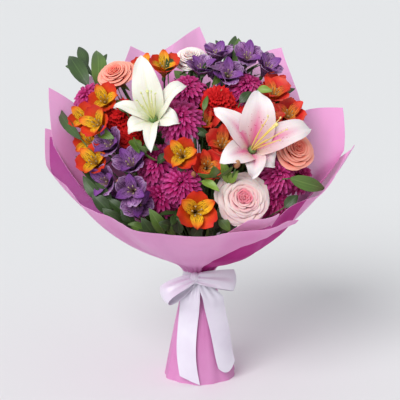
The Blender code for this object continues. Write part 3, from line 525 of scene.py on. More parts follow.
# %% [markdown]
# ## Green parts
# Stems, sepals and leaves share a few greens. A leaf's veins run side by side from its root
# to its tip, with a paler rib in the middle, so its finish follows the leaf's own map.
# %% Green finishes


def leaf_finish(name, dark, light, rib):
    """Make a leaf material: clouded green, parallel veins, and a rib."""
    recipe = Recipe(name, 0.42)
    source, across, along = recipe.own_map()
    cloud = recipe.ranged(recipe.noise(recipe.place(), 22.0), 0.3, 0.7)
    veins = recipe.streaks(source, (26, 0.8, 1), 2.0)
    colour = recipe.mix(recipe.ranged(veins, 0.52, 0.68, 0.0, 0.35),
                        recipe.mix(cloud, dark, light), rib)
    near = recipe.ranged(recipe.off_centre(across), 0.008, 0.035, 0.75, 0.0)
    recipe.relief(veins, 0.35, 0.0008)
    return recipe.shade({"Base Color": recipe.mix(near, colour, rib)})


def plain_finish(name, dark, light, roughness=0.5):
    """Make the finish of stems and sepals: a clouded colour with fine ridges."""
    recipe = Recipe(name, roughness)
    place = recipe.place()
    cloud = recipe.ranged(recipe.noise(place, 30.0), 0.3, 0.7)
    recipe.relief(recipe.streaks(place, (900, 900, 60), 2.0), 0.3, 0.0006)
    return recipe.shade({"Base Color": recipe.mix(cloud, dark, light)})


def holds_stem(name):
    """Tell whether a node is a stem or the stems of a spray."""
    return name.endswith("_stem") or "_spray" in name and "_head_" not in name


# The darkest green is dark foliage and also painted shade: its leaves fill the gaps between the
# blooms, where shade falls.
DARK_LEAF_AND_SHADE = leaf_finish("leaf_dark_and_shade", (0.018, 0.040, 0.009), (0.042, 0.090, 0.018),
                   (0.08, 0.15, 0.04))
MID = leaf_finish("leaf_mid", (0.055, 0.115, 0.016), (0.110, 0.200, 0.030),
                  (0.17, 0.27, 0.06))
LIGHT = leaf_finish("leaf_light", (0.14, 0.25, 0.03), (0.25, 0.37, 0.055), (0.34, 0.44, 0.11))
STEM_GREEN = plain_finish("stem_green", (0.040, 0.105, 0.020), (0.085, 0.190, 0.045))
CALYX_GREEN = plain_finish("calyx_green", (0.10, 0.20, 0.05), (0.20, 0.33, 0.10))

for name, node in nodes.items():
    if holds_stem(name):
        paint(node, STEM_GREEN)

# %% [markdown]
# ## Lilies
# A lily has six tepals: three broad inner ones over three narrower outer ones. Each rises
# steeply from the throat and then rolls outward, grooved along its middle and waved at its
# rim. No two of them are alike in a real bloom, so each has a row of its own: the way it
# points, its length and width, and how far it has opened. Six filaments and a longer style
# stand in the throat; florists pick the anthers off.
# %% Lily finishes
LILY_LOOK = {"roughness": 0.45, "glow": 0.12}
LILIES = {
    "lily_white": (
        petal_finish("lily_white", ((0.0, 0.42, 0.52, 0.16), (0.14, 0.74, 0.75, 0.48),
                                    (0.34, 0.83, 0.80, 0.70), (1.0, 0.85, 0.81, 0.77)),
                     rib=((0.76, 0.77, 0.50), 0.05, 0.25, 0.95), vein_depth=0.05,
                     cloud_depth=0.05, **LILY_LOOK),
        plain_finish("filament", (0.62, 0.66, 0.20), (0.78, 0.78, 0.36), 0.45), 0.013),
    "lily_pink": (
        petal_finish("lily_pink", ((0.0, 0.55, 0.50, 0.22), (0.10, 0.82, 0.62, 0.54),
                                   (0.34, 0.80, 0.55, 0.60), (0.62, 0.82, 0.69, 0.70),
                                   (1.0, 0.84, 0.77, 0.77)),
                     rib=((0.78, 0.16, 0.36), 0.24, 0.40, 0.80),
                     freckles=((0.50, 0.04, 0.12), 0.52), vein_depth=0.06, cloud_depth=0.04,
                     **LILY_LOOK),
        plain_finish("filament_gold", (0.80, 0.58, 0.10), (0.88, 0.74, 0.30), 0.45), 0.017),
}

# %% Lily shapes
LILY_GROWTH = 1.12
TEPAL_START = math.radians(14)
TEPAL_ROWS = 18
TEPAL_COLUMNS = 10
LILY_THROAT = ((0.0044, 0.0), (0.0050, 0.006), (0.0062, 0.014), (0.0050, 0.018), (0.001, 0.0185))
# Tepals: the way it points, as degrees clockwise from straight up when seen from in front,
# its length and width as shares, how far it leans at its end and how much its tip curls back
# (degrees), and whether it belongs to the inner three
LILY_TEPALS = {
    "lily_white": ((-9, 1.16, 0.50, 68, 16, True), (46, 1.00, 0.30, 90, 84, False),
                   (108, 0.60, 0.38, 100, 60, True), (170, 0.98, 0.26, 92, 40, False),
                   (232, 0.62, 0.34, 100, 70, True), (292, 0.90, 0.22, 96, 90, False)),
    "lily_pink": ((8, 1.06, 0.56, 74, 56, True), (68, 1.16, 0.42, 116, 30, False),
                  (128, 0.50, 0.40, 110, 50, True), (186, 0.66, 0.36, 92, 84, False),
                  (238, 0.84, 0.42, 88, 50, True), (312, 1.04, 0.40, 82, 50, False)),
}
# Stamens: the way they lean, as for the tepals, and how far
STAMEN_LEAN = {"lily_white": (-4, 0.10), "lily_pink": (56, 0.34)}


def tepal_line(length, end, curl):
    """Return the midline of a tepal as radius, height and lean at even steps."""
    radius, height = 0.0030, 0.0045
    line = [(radius, height, TEPAL_START)]
    for row in range(1, TEPAL_ROWS + 1):
        share = (row - 0.5) / TEPAL_ROWS
        lean = TEPAL_START + (math.radians(end) - TEPAL_START) * share ** 0.8
        lean += math.radians(curl) * max(share - 0.66, 0) / 0.34
        radius += length / TEPAL_ROWS * math.sin(lean)
        height += length / TEPAL_ROWS * math.cos(lean)
        line.append((radius, height, lean))
    return line


def tepal(line, width, phase, finish):
    """Bend one tepal: cupped near the throat, grooved, and waved at its rim."""
    def rule(across, along):
        radius, height, lean = line[round(along * TEPAL_ROWS)]
        half = width / 2 * outline(along, 0.90, 0.66)
        wave = 0.0036 * across ** 2 * along * math.sin(13 * along + phase + 2 * across)
        groove = -0.0018 * math.exp(-(across / 0.16) ** 2) * math.sin(math.pi * along)
        lift = half * 0.30 * across ** 2 * (1.15 - along) + wave + groove
        sway = 0.0045 * math.sin(phase) * along ** 2
        return Vector((radius - lift * math.cos(lean), half * across + sway,
                       height + lift * math.sin(lean)))

    return blade("tepal", TEPAL_COLUMNS, TEPAL_ROWS, rule, 0.0007, finish)


def clock_angle(matrix, clock):
    """Return the angle in a bloom's own plane that points to a clock angle seen in front."""
    clock = math.radians(clock)
    local = matrix.to_3x3().inverted() @ Vector((math.sin(clock), 0, math.cos(clock)))
    return math.atan2(local.y, local.x)


def lily(name, finish, filament, spread):
    """Make a lily in its place."""
    matrix, reach = single_frame(name)
    parts = []
    for number, (clock, length, width, end, curl, inner) in enumerate(LILY_TEPALS[name]):
        size = reach * LILY_GROWTH
        petal = tepal(tepal_line(length * size, end, curl), width * size, 1.7 * number + 0.6,
                      finish)
        petal.data.transform(around(clock_angle(matrix, clock))
                             @ Matrix.Translation(UP * (0.0009 if inner else 0.0)))
        parts.append(petal)
    parts.append(turned(LILY_THROAT, 12, CALYX_GREEN))
    lean_clock, lean_share = STAMEN_LEAN[name]
    lean_way = around(clock_angle(matrix, lean_clock)) @ Vector((lean_share * reach, 0, 0))
    for turn in range(6):
        out = around(math.radians(60 * turn + 30)) @ Vector((1, 0, 0))
        ends = (out * 0.002 + UP * 0.014, out * 0.004 + UP * 0.03,
                out * 0.010 + lean_way * 0.3 + UP * (0.52 * reach),
                out * spread + lean_way * 0.8 + UP * ((0.70 + 0.03 * turn) * reach))
        stamen, top = curved_strand(ends, [0.0009] * 7 + [0.0008, 0.0005], filament)
        tip = (top, top + out * 0.0016 + UP * 0.0022, top + out * 0.0028 + UP * 0.0034)
        parts += [stamen, strand(tip, (0.0006, 0.0014, 0.0004), filament)]
    ends = (UP * 0.014, UP * 0.04, Vector((0.002, 0, 0.6 * reach)) + lean_way * 0.3,
            Vector((0.004, 0, 0.90 * reach)) + lean_way)
    style, top = curved_strand(ends, [0.0013] * 8 + [0.0020], filament)
    stigma = (top, top + Vector((0.0004, 0, 0.0024)), top + Vector((0.0006, 0, 0.0036)))
    parts += [style, strand(stigma, (0.0020, 0.0029, 0.0012), filament, 2)]
    bloom = join(parts, name + "_bloom")
    bloom.data.transform(matrix)
    print(name, "reach", round(reach * 1000), "mm")
    settle_in(bloom, petal_slot(name), name)


for name, looks in LILIES.items():
    lily(name, *looks)

# %% [markdown]
# ## Roses
# A rose is a spiral of petals. Each one hugs those inside it and then flares out into a collar:
# narrow and upright at the heart, broad and almost flat outside. The golden angle sets each
# petal off from the one before, so that no two rims line up, and a seeded draw makes every
# petal a little different. The heart is deeper in colour than the rim, so a rose's petals take
# up to three finishes. A turned core in the deepest colour fills the spiral between them.
# %% Rose finishes
# Each finish: its name, the share of the way out where it ends, and its colours at the
# petal's root, middle and rim; the core has one colour for all three
ROSE_COLOURS = {
    "rose_garden": (("core", 0.0, (0.80, 0.20, 0.26)),
                    ("heart", 0.34, (0.84, 0.09, 0.18), (0.88, 0.16, 0.25), (0.90, 0.32, 0.38)),
                    ("middle", 0.60, (0.86, 0.20, 0.28), (0.89, 0.38, 0.42), (0.90, 0.60, 0.58)),
                    ("rim", 1.00, (0.88, 0.40, 0.42), (0.89, 0.60, 0.58), (0.90, 0.73, 0.69))),
    "rose_peach": (("core", 0.0, (0.76, 0.10, 0.06)),
                   ("heart", 0.40, (0.90, 0.10, 0.08), (0.95, 0.15, 0.12), (0.98, 0.30, 0.22)),
                   ("rim", 1.00, (0.95, 0.17, 0.12), (0.97, 0.26, 0.19), (0.98, 0.40, 0.31))),
    "rose_blush": (("core", 0.0, (0.84, 0.42, 0.44)),
                   ("petal", 1.00, (0.88, 0.56, 0.55), (0.92, 0.70, 0.68), (0.95, 0.82, 0.79))),
}


def rose_finishes(kind):
    """Make a rose's finishes, each with the share where it ends; the core's comes first."""
    made = []
    for part, limit, *colours in ROSE_COLOURS[kind]:
        root, middle, rim = colours if len(colours) == 3 else colours * 3
        stops = ((0.0, *root), (0.45, *root), (0.80, *middle), (0.97, *rim))
        made.append((limit, petal_finish(f"{kind}_{part}", stops, roughness=0.6, glow=0.20,
                                         vein_depth=0.04, cloud_depth=0.05, gloss=0.2)))
    return made


ROSE_HIP = ((0.11, -0.01), (0.17, 0.03), (0.25, 0.10), (0.22, 0.16), (0.05, 0.18))
GOLDEN_ANGLE = math.radians(137.508)

# %% Rose shapes
# Petals, radius of the heart, how fast they open, height, fall from heart to outside, half
# the width of a petal at the heart and outside (degrees), collar there, its ruffle, and how
# much fuller the bloom is than its notched solid
GARDEN_PLAN = {"petals": 46, "heart": 0.045, "opening": 1.30, "height": 0.90, "fall": 0.44,
               "wide_heart": 78, "wide_rim": 56, "collar": (0.05, 0.34), "ruffle": 0.022,
               "thickness": 0.018, "growth": 1.06}
SPRAY_PLAN = {"petals": 26, "heart": 0.06, "opening": 1.10, "height": 1.06, "fall": 0.50,
              "wide_heart": 105, "wide_rim": 64, "collar": (0.06, 0.40), "ruffle": 0.014,
              "thickness": 0.020, "growth": 1.16}
CORE_DEPTH = 0.13


def rose_reach(plan, share):
    """Return a petal's rim radius, its top and its collar at a share from heart to outside."""
    rim = plan["heart"] + (1.0 - plan["heart"]) * share ** plan["opening"]
    top = plan["height"] - plan["fall"] * share ** 2.0
    first, last = plan["collar"]
    return rim, top, first + (last - first) * share


def rose_petal(share, angle, plan, finish, growth):
    """Bend the petal that stands at a share of the way from the heart to the outside."""
    rim, top, collar = rose_reach(plan, share)
    rim *= growth
    hug = max(rim - collar, 0.5 * rim)
    wide = math.radians(plan["wide_heart"] + (plan["wide_rim"] - plan["wide_heart"]) * share)
    low = 0.26 * (1 - share) + 0.04
    profile = (Vector((0.05 + 0.16 * share, low)), Vector((hug * 1.12, low + 0.05)),
               Vector((hug * 0.96, top + 0.10 * share)), Vector((rim, top)))

    def rule(across, along):
        turn = angle + wide * across * (0.40 + 0.60 * min(along * 1.8, 1.0))
        place = curve_point(profile, along * (1 - 0.20 * across ** 4))
        ruffle = plan["ruffle"] * along ** 4 * (0.4 + share)
        height = place.y + ruffle * math.sin(4.3 * across + 3.1 * angle)
        height -= 0.05 * share * max(along - 0.86, 0) / 0.14
        radius = place.x + ruffle * math.sin(5.9 * across + 1.7 * angle)
        radius -= 0.035 * share * across ** 2
        return Vector((radius * math.cos(turn), radius * math.sin(turn), height))

    return blade("petal", 9, 9, rule, plan["thickness"], finish)


def sepal(across, along):
    """Bend a pointed sepal under the bloom."""
    half = 0.13 * (1 - along) ** 0.7
    height = 0.06 + 0.10 * along - 0.10 * along ** 2
    return Vector((0.16 + 0.62 * along, half * across, height - 0.05 * across ** 2))


def rose(name, plan, finishes):
    """Make a rose in its place."""
    matrix, reach = single_frame(name)
    dice = random.Random(len(name))
    parts = []
    for number in range(plan["petals"]):
        share = (number + 0.5) / plan["petals"]
        angle = GOLDEN_ANGLE * number + dice.uniform(-0.25, 0.25)
        finish = next(finish for limit, finish in finishes if share <= limit)
        parts.append(rose_petal(share, angle, plan, finish, dice.uniform(0.97, 1.03)))
    core = [(0.10, 0.06), (0.30, 0.10)]
    for share in (0.7, 0.5, 0.35, 0.2, 0.1, 0.02):
        rim, top, collar = rose_reach(plan, share)
        core.append((max(rim - collar, 0.5 * rim), top - CORE_DEPTH * (0.6 + share)))
    parts.append(turned(core, 24, finishes[0][1]))
    for turn in range(5):
        parts.append(blade("sepal", 2, 5, sepal, plan["thickness"], CALYX_GREEN))
        parts[-1].data.transform(around(math.radians(72 * turn)))
    parts.append(turned(ROSE_HIP, 12, CALYX_GREEN))
    bloom = join(parts, name + "_bloom")
    bloom.data.transform(matrix @ Matrix.Scale(reach * plan["growth"], 4))
    print(name, "petals", plan["petals"], "reach", round(reach * 1000), "mm")
    settle_in(bloom, petal_slot(name), name)


for kind, plan, names in (("rose_garden", GARDEN_PLAN, ("rose_garden",)),
                          ("rose_peach", SPRAY_PLAN, ("rose_peach_right", "rose_peach_left")),
                          ("rose_blush", SPRAY_PLAN, ("rose_blush",))):
    finishes = rose_finishes(kind)
    for name in names:
        rose(name, plan, finishes)

# %% [markdown]
# ## Chrysanthemums
# A spray chrysanthemum's head is a dome of narrow spoon-shaped florets in rings. The outer
# ring lies almost flat, each ring further in stands steeper, and the last ones close over the
# middle. One floret is bent for each ring and copied round it with a small seeded jitter. Two
# different heads are enough, because every copy is turned and scaled to its own place.
# %% Chrysanthemum finish and shape
CHRYSANTHEMUM = petal_finish(
    "chrysanthemum", ((0.0, 0.10, 0.002, 0.022), (0.40, 0.28, 0.004, 0.066),
                      (0.76, 0.47, 0.014, 0.150), (1.0, 0.69, 0.10, 0.37)),
    roughness=0.5, vein_depth=0.22, cloud_depth=0.30)
# Rings: tip radius, tip height, florets, width, root radius, root height
FLORET_ROUNDS = (
    (1.03, 0.08, 19, 0.21, 0.13, 0.10), (0.98, 0.25, 19, 0.21, 0.15, 0.18),
    (0.90, 0.42, 18, 0.20, 0.16, 0.26), (0.76, 0.59, 17, 0.19, 0.14, 0.34),
    (0.58, 0.71, 14, 0.17, 0.11, 0.40), (0.40, 0.79, 11, 0.14, 0.08, 0.45),
    (0.23, 0.81, 8, 0.11, 0.05, 0.50), (0.09, 0.78, 5, 0.08, 0.02, 0.52),
)
HEAD_CUP = ((0.16, -0.02), (0.26, 0.04), (0.30, 0.14), (0.20, 0.22), (0.04, 0.24))


def ring_angle(number, ring, count, jitter):
    """Return a petal's angle in its ring: every other ring is set off by half a step."""
    return 2 * math.pi * (number + 0.5 * (ring % 2) + jitter) / count


def spoon(tip_radius, tip_height, width, root_radius, root_height):
    """Bend one spoon-shaped floret from its root to its tip."""
    root = Vector((root_radius, root_height))
    tip = Vector((tip_radius, tip_height))
    out = (tip - root).length
    points = (root, root + Vector((0.10, 0.55)) * out, tip + Vector((-0.42, 0.16)) * out, tip)

    def rule(across, along):
        full = (0.34 + 0.66 * min(along / 0.62, 1.0)) * round_end(along, 0.72, 0.30)
        half = width / 2 * full
        return on_midline(points, along, half * 0.75 * across ** 2, half * across)

    return blade("floret", 2, 6, rule, 0.018, CHRYSANTHEMUM)


def chrysanthemum_head(name, seed):
    """Make one whole head, one unit in radius, as a pattern for its copies."""
    dice = random.Random(seed)
    parts = []
    for ring, (radius, height, count, width, foot, rise) in enumerate(FLORET_ROUNDS):
        pattern = spoon(radius, height, width, foot, rise)
        for number in range(count):
            angle = ring_angle(number, ring, count, dice.uniform(-0.22, 0.22))
            tilt = Matrix.Rotation(dice.uniform(-0.10, 0.10), 4, "Y")
            size = Matrix.Scale(dice.uniform(0.92, 1.05), 4)
            parts.append(copy_of(pattern, around(angle) @ tilt @ size))
        bpy.data.objects.remove(pattern)
    parts.append(turned(HEAD_CUP, 12, CALYX_GREEN))
    return join(parts, name)


# The solid heads are notched between their petals, so the full ones are a little larger
HEAD_GROWTH = 1.14


def place_heads(kind, patterns):
    """Copy a kind's patterns onto all its heads in the frame."""
    names = sorted(name for name in nodes if name.startswith(kind) and "_head_" in name)
    for number, name in enumerate(names):
        matrix, reach = head_frame(name)
        place = matrix @ around(number * 1.3) @ Matrix.Scale(reach * HEAD_GROWTH, 4)
        head = copy_of(patterns[number % len(patterns)], place)
        settle_in(rename(head, name + "_bloom"), "petal_" + kind, name)
    for pattern in patterns:
        bpy.data.objects.remove(pattern)
    print(kind, "heads", len(names))


place_heads("chrysanthemum", [chrysanthemum_head("mum_a", 3), chrysanthemum_head("mum_b", 8)])

# %% [markdown]
# ## Carnations
# A carnation is a full ball of fan-shaped petals with a toothed, waving rim, packed into a
# green tube. The petals are bent with a fast ripple that grows toward the rim, and a saw
# tooth on the rim itself.
# %% Carnation finish and shape
CARNATION = petal_finish(
    "carnation", ((0.0, 0.22, 0.003, 0.006), (0.6, 0.52, 0.006, 0.010), (1.0, 0.74, 0.018, 0.020)),
    roughness=0.62, vein_depth=0.2, cloud_depth=0.3, gloss=0.15)
# Rings: tip radius, tip height, petals, width
FAN_ROUNDS = ((1.02, 0.44, 9, 0.80), (0.94, 0.66, 9, 0.78), (0.80, 0.84, 8, 0.74),
              (0.60, 0.97, 7, 0.66), (0.38, 1.03, 6, 0.56), (0.16, 1.04, 4, 0.44))
CARNATION_TUBE = ((0.18, -0.02), (0.26, 0.06), (0.30, 0.22), (0.28, 0.34), (0.06, 0.36))


def fan(tip_radius, tip_height, width, phase):
    """Bend one fan-shaped petal with its ripple and its toothed rim."""
    root = Vector((0.05 + 0.10 * tip_radius, 0.16))
    tip = Vector((tip_radius, tip_height))
    points = (root, root + Vector((0.02, 0.38)), tip + Vector((-0.34, 0.04)), tip)

    def rule(across, along):
        half = width / 2 * (0.16 + 0.84 * along ** 1.5)
        ripple = 0.085 * along ** 2 * math.sin(8.5 * across + phase)
        tooth = 0.045 * along ** 6 * (1 if round(across * 5) % 2 else -1)
        back = 0.20 * across ** 2 * along
        return on_midline(points, along, ripple, half * across, tooth - back, tooth * 0.4)

    return blade("fan", 10, 5, rule, 0.018, CARNATION)


def carnation_head(name, seed):
    """Make one whole carnation, one unit in radius, as a pattern for its copies."""
    dice = random.Random(seed)
    parts = []
    for ring, (radius, height, count, width) in enumerate(FAN_ROUNDS):
        for number in range(count):
            petal = fan(radius, height, width, dice.uniform(0, 6.28))
            angle = ring_angle(number, ring, count, dice.uniform(-0.2, 0.2))
            petal.data.transform(around(angle) @ Matrix.Scale(dice.uniform(0.90, 1.03), 4))
            parts.append(petal)
    parts.append(turned(CARNATION_TUBE, 12, CALYX_GREEN))
    return join(parts, name)


place_heads("carnation", [carnation_head("carnation_a", 5), carnation_head("carnation_b", 6)])

# %% [markdown]
# ## Alstroemerias
# Each floret is a loose trumpet of six tepals: three broad outer ones, notched at the tip,
# and three narrow inner ones, which carry dark dashes and are yellow at the root in the orange
# and red shades. Five florets or so share a stem. Their stems come from the solid model: its
# mesh is copied, the plain florets are deleted from the copy, and the open ends are filled
# before the new florets go on.
# %% Alstroemeria finishes
YELLOW = (0.92, 0.52, 0.02)
DASHES = ((0.16, 0.015, 0.01), 0.30, 0.86)


def tepal_finish(name, stops, glow=0.05, **looks):
    """Make the finish of an alstroemeria's tepals."""
    return petal_finish("alstroemeria_" + name, stops, roughness=0.5, glow=glow, **looks)


# The outer and the inner tepals of each shade
ALSTROEMERIA = {
    "orange": (
        tepal_finish("orange", ((0.0, 0.70, 0.30, 0.02), (0.40, 0.88, 0.26, 0.015),
                                (0.72, 0.80, 0.07, 0.012), (1.0, 0.66, 0.02, 0.014)),
                     cloud_depth=0.3),
        tepal_finish("orange_inner", ((0.0, *YELLOW), (0.70, *YELLOW), (0.90, 0.88, 0.24, 0.015),
                                      (1.0, 0.72, 0.05, 0.012)), streaks=DASHES)),
    "red": (
        tepal_finish("red", ((0.0, 0.60, 0.10, 0.03), (0.4, 0.82, 0.07, 0.035),
                             (0.8, 0.76, 0.025, 0.02), (1.0, 0.82, 0.10, 0.06)),
                     cloud_depth=0.3),
        tepal_finish("red_inner", ((0.0, 0.88, 0.42, 0.05), (0.50, 0.88, 0.34, 0.05),
                                   (0.8, 0.78, 0.06, 0.02), (1.0, 0.72, 0.03, 0.02)),
                     streaks=DASHES)),
    "purple": (
        tepal_finish("purple", ((0.0, 0.28, 0.13, 0.24), (0.45, 0.38, 0.16, 0.40),
                                (0.78, 0.42, 0.18, 0.45), (1.0, 0.60, 0.38, 0.66)),
                     vein_depth=0.45, cloud_depth=0.6, streaks=((0.10, 0.01, 0.14), 0.35, 1.1)),
        tepal_finish("purple_inner", ((0.0, 0.46, 0.28, 0.32), (0.45, 0.42, 0.20, 0.46),
                                      (0.85, 0.24, 0.07, 0.33), (1.0, 0.18, 0.04, 0.26)),
                     glow=0.0, streaks=((0.05, 0.004, 0.06), 0.3, 0.9))),
}
ANTHER = plain_finish("anther", (0.35, 0.26, 0.12), (0.50, 0.40, 0.22), 0.7)

# %% Alstroemeria shapes
# The model's floret: the throat rim's height and area for a floret of one unit
THROAT_HEIGHT = 0.86
THROAT_AREA = 0.243
THROAT_LEAST = 1.0e-4
# How far a floret may nod from its solid's axis, and its growth over the solid
FLORET_NOD = math.radians(13)
FLORET_GROWTH = 1.05
# Tepals: midline as radius and height, width, how deep the tip is notched (pointed if negative)
OUTER_TEPAL = (((0.05, 0.0), (0.22, 0.60), (0.50, 1.00), (0.98, 1.34)), 1.16, 0.08)
INNER_TEPAL = (((0.04, 0.05), (0.12, 0.80), (0.34, 1.20), (0.82, 1.50)), 0.62, -0.08)
OVARY = ((0.06, -0.30), (0.12, -0.18), (0.13, -0.04), (0.10, 0.10), (0.06, 0.14))
STAMEN_LINE = ((0.03, 0.15), (0.10, 0.7), (0.20, 1.10), (0.24, 1.16))


def trumpet_tepal(plan, phase, finish):
    """Bend one tepal of the trumpet."""
    line, width, notch = plan
    points = [Vector(point) for point in line]

    def rule(across, along):
        full = 0.13 + 0.87 * math.sin(math.pi * min(along / 1.34, 1.0)) ** 1.6
        full *= round_end(along, 0.80, 0.24)
        half = width / 2 * full
        lift = half * 0.55 * across ** 2 * (1.3 - along)
        lift += 0.035 * along ** 2 * math.sin(5 * across + phase)
        back = notch * along ** 8 * (1 - abs(across))
        return on_midline(points, along, lift, half * across, -back)

    return blade("tepal", 6, 8, rule, 0.022, finish)


def trumpet(shade, seed):
    """Make one floret, one unit in radius, as a pattern for its copies."""
    outer, inner = ALSTROEMERIA[shade]
    dice = random.Random(seed)
    parts = []
    for turn in range(6):
        plan, finish = (OUTER_TEPAL, outer) if turn % 2 == 0 else (INNER_TEPAL, inner)
        petal = trumpet_tepal(plan, dice.uniform(0, 6.28), finish)
        petal.data.transform(around(math.radians(60 * turn) + dice.uniform(-0.08, 0.08))
                             @ Matrix.Scale(dice.uniform(0.95, 1.04), 4))
        parts.append(petal)
    for turn in range(5):
        out = around(1.2 * turn + 0.4) @ Vector((1, 0, 0))
        points = [out * spread + UP * height for spread, height in STAMEN_LINE]
        parts.append(strand(points, (0.02, 0.02, 0.02, 0.045), ANTHER))
    parts.append(turned(OVARY, 8, CALYX_GREEN))
    return join(parts, f"trumpet_{shade}_{seed}")


def find_florets(name):
    """Return each floret's matrix and radius, from the rim of its throat."""
    found = []
    for spot in flat_spots(name):
        if spot["faces"] < 5 or spot["area"] < THROAT_LEAST or spot["way"].y > 0:
            continue
        reach = math.sqrt(spot["area"] / THROAT_AREA)
        toward = max(spot["corners"], key=lambda corner: (corner - spot["centre"]).length)
        axis = spot["way"].normalized()
        found.append((stand(spot["centre"] - axis * THROAT_HEIGHT * reach, axis, toward), reach))
    return found


def merged_copy(name):
    """Copy a node of the model as a free piece and merge its corners, in edit mode."""
    piece = copy_of(nodes[name], Matrix.Identity(4))
    piece.parent = None
    for key in list(piece.keys()):
        del piece[key]
    edit(piece)
    bpy.ops.mesh.remove_doubles(threshold=2e-6)
    return piece


def bare_stems(name, florets):
    """Copy a node's mesh and leave only its stems: florets deleted, ends filled."""
    stems = merged_copy(name)
    bpy.ops.mesh.select_all(action="DESELECT")
    bpy.ops.object.mode_set(mode="OBJECT")
    for matrix, reach in florets:
        back = matrix.inverted()
        for corner in stems.data.vertices:
            local = back @ corner.co / reach
            off = math.hypot(local.x, local.y)
            on_ring = any(abs(local.z - level) < 0.03 for level in (0.55, 0.86, 1.20))
            if on_ring and off < 1.06 or 0.02 < local.z < 1.2 and off < 0.25 + 0.5 * local.z:
                corner.select = True
    bpy.ops.object.mode_set(mode="EDIT")
    bpy.ops.mesh.delete(type="VERT")
    bpy.ops.mesh.select_all(action="DESELECT")
    bpy.ops.mesh.select_mode(type="VERT")
    bpy.ops.mesh.select_non_manifold()
    bpy.ops.mesh.fill_holes(sides=0)
    turn_outward()
    return paint(stems, STEM_GREEN)


bloom_balls = []


def alstroemeria(name, patterns):
    """Make all the florets of one stem in their places, and the stem."""
    florets = find_florets(name)
    parts = [bare_stems(name, florets)]
    dice = random.Random(name)
    for number, (matrix, reach) in enumerate(florets):
        turn = Matrix.Rotation(dice.uniform(-FLORET_NOD, FLORET_NOD), 4, "X")
        turn = turn @ Matrix.Rotation(dice.uniform(-FLORET_NOD, FLORET_NOD), 4, "Y")
        turn = turn @ around(dice.uniform(0, 2 * math.pi))
        parts.append(copy_of(patterns[number % len(patterns)],
                             matrix @ turn @ Matrix.Scale(reach * FLORET_GROWTH, 4)))
        bloom_balls.append((matrix @ (UP * (1.1 * reach)), 0.8 * reach))
    settle_in(join(parts, name + "_bunch"), petal_slot(name), name)
    print(name, "florets", len(florets))


for shade in ALSTROEMERIA:
    patterns = [trumpet(shade, seed) for seed in (1, 2, 3)]
    for name in sorted(nodes):
        if name.startswith("alstroemeria_" + shade):
            alstroemeria(name, patterns)
    for pattern in patterns:
        bpy.data.objects.remove(pattern)

# %% [markdown]
# ## Leafy sprigs
# The solid model's sprigs are coarse, but their leaves already turn the right way. A copy of
# each is merged and subdivided twice, which rounds the blades. Before that, every corner on a
# blade's rim is found by its twin across the thin edge, and the map's first value is set from
# the midrib to the rim, so that the leaf finish can draw its rib and veins.
# %% Sprigs
BLADE_EDGE = 0.0013
# Rounding makes a bent stem swell, so at the neck it is held inside the paper
NECK_ZONE = (0.140, 0.190)
NECK_ROOM = 0.0172


def sprig(name):
    """Round a sprig of the model and give its blades a rib."""
    piece = merged_copy(name)
    bpy.ops.mesh.tris_convert_to_quads(face_threshold=0.9, shape_threshold=1.2)
    turn_outward()
    mesh = piece.data
    rim = [0.0] * len(mesh.vertices)
    for edge in mesh.edges:
        first, second = (mesh.vertices[index].co for index in edge.vertices)
        if (first - second).length < BLADE_EDGE:
            for index in edge.vertices:
                rim[index] = 0.5
    layer = mesh.uv_layers[0] if mesh.uv_layers else mesh.uv_layers.new(name="UVMap")
    layer.name = "UVMap"
    for corner in mesh.loops:
        place = mesh.vertices[corner.vertex_index].co
        layer.data[corner.index].uv = (0.5 + rim[corner.vertex_index], place.z / 0.06)
    smooth = piece.modifiers.new("round", "SUBSURF")
    smooth.levels = 2
    bpy.ops.object.modifier_apply(modifier=smooth.name)
    bpy.ops.object.shade_smooth()
    for corner in mesh.vertices:
        off = math.hypot(corner.co.x, corner.co.y)
        if NECK_ZONE[0] < corner.co.z < NECK_ZONE[1] and off > NECK_ROOM:
            corner.co.x *= NECK_ROOM / off
            corner.co.y *= NECK_ROOM / off
    paint(piece, MID if name in ("foliage_middle", "foliage_centre") else DARK_LEAF_AND_SHADE)
    settle_in(rename(piece, name + "_leaves"), "leaf", name)


for name in sorted(nodes):
    if name.startswith("foliage_"):
        sprig(name)
print("sprigs", sum(name.startswith("foliage_") for name in nodes))

# %% [markdown]
# ## More leaves and buds
# A florist leaves some foliage on the stems. Most of the leaves here take the darkest green,
# which is dark foliage and also painted shade for the deep gaps between the blooms. Each loose
# leaf is a grid bent along a curve and folded a little at its rib. The ones that are plainly
# seen are listed one by one on the dome that the blooms fill. Others are scattered with a seed
# along the stems, and a leaf is dropped if it would run through a bloom or the paper.
# %% The dome and the wrap again
DOME_ACROSS = 0.215
DOME_UP = 0.170
DOME_MID_UP = 0.362
DOME_RIM_FORWARD = -0.034
DOME_BULGE = 0.078
DOME_LEAN = 0.60
NECK = (0.0196, 0.1600)
NECK_RISE = (0.0200, 0.2050)
FRONT_PULL = (0.084, 0.192)
FRONT_RIM = (0.156, 0.281)
SIDE_PULL = (0.160, 0.215)
SIDE_RIM = (0.222, 0.400)
BACK_PULL = (0.130, 0.250)
BACK_RIM = (0.142, 0.505)
LAYER_AT_NECK = 0.0011
LAYER_AT_RIM = 0.0095
PLEATS = 12
PLEAT_DEPTH = 0.030
ABOVE_RIM = 0.80


def dome_point(across, up, toward):
    """Return the place on the bloom dome that is seen at across and up."""
    inside = 1 - (across / DOME_ACROSS) ** 2 - ((up - DOME_MID_UP) / DOME_UP) ** 2
    forward = DOME_RIM_FORWARD + DOME_BULGE * math.sqrt(max(inside, 0.0))
    forward += toward - DOME_LEAN * (up - DOME_MID_UP)
    return EYE.lerp(Vector((across, 0, up)), 1 + forward / EYE.y)


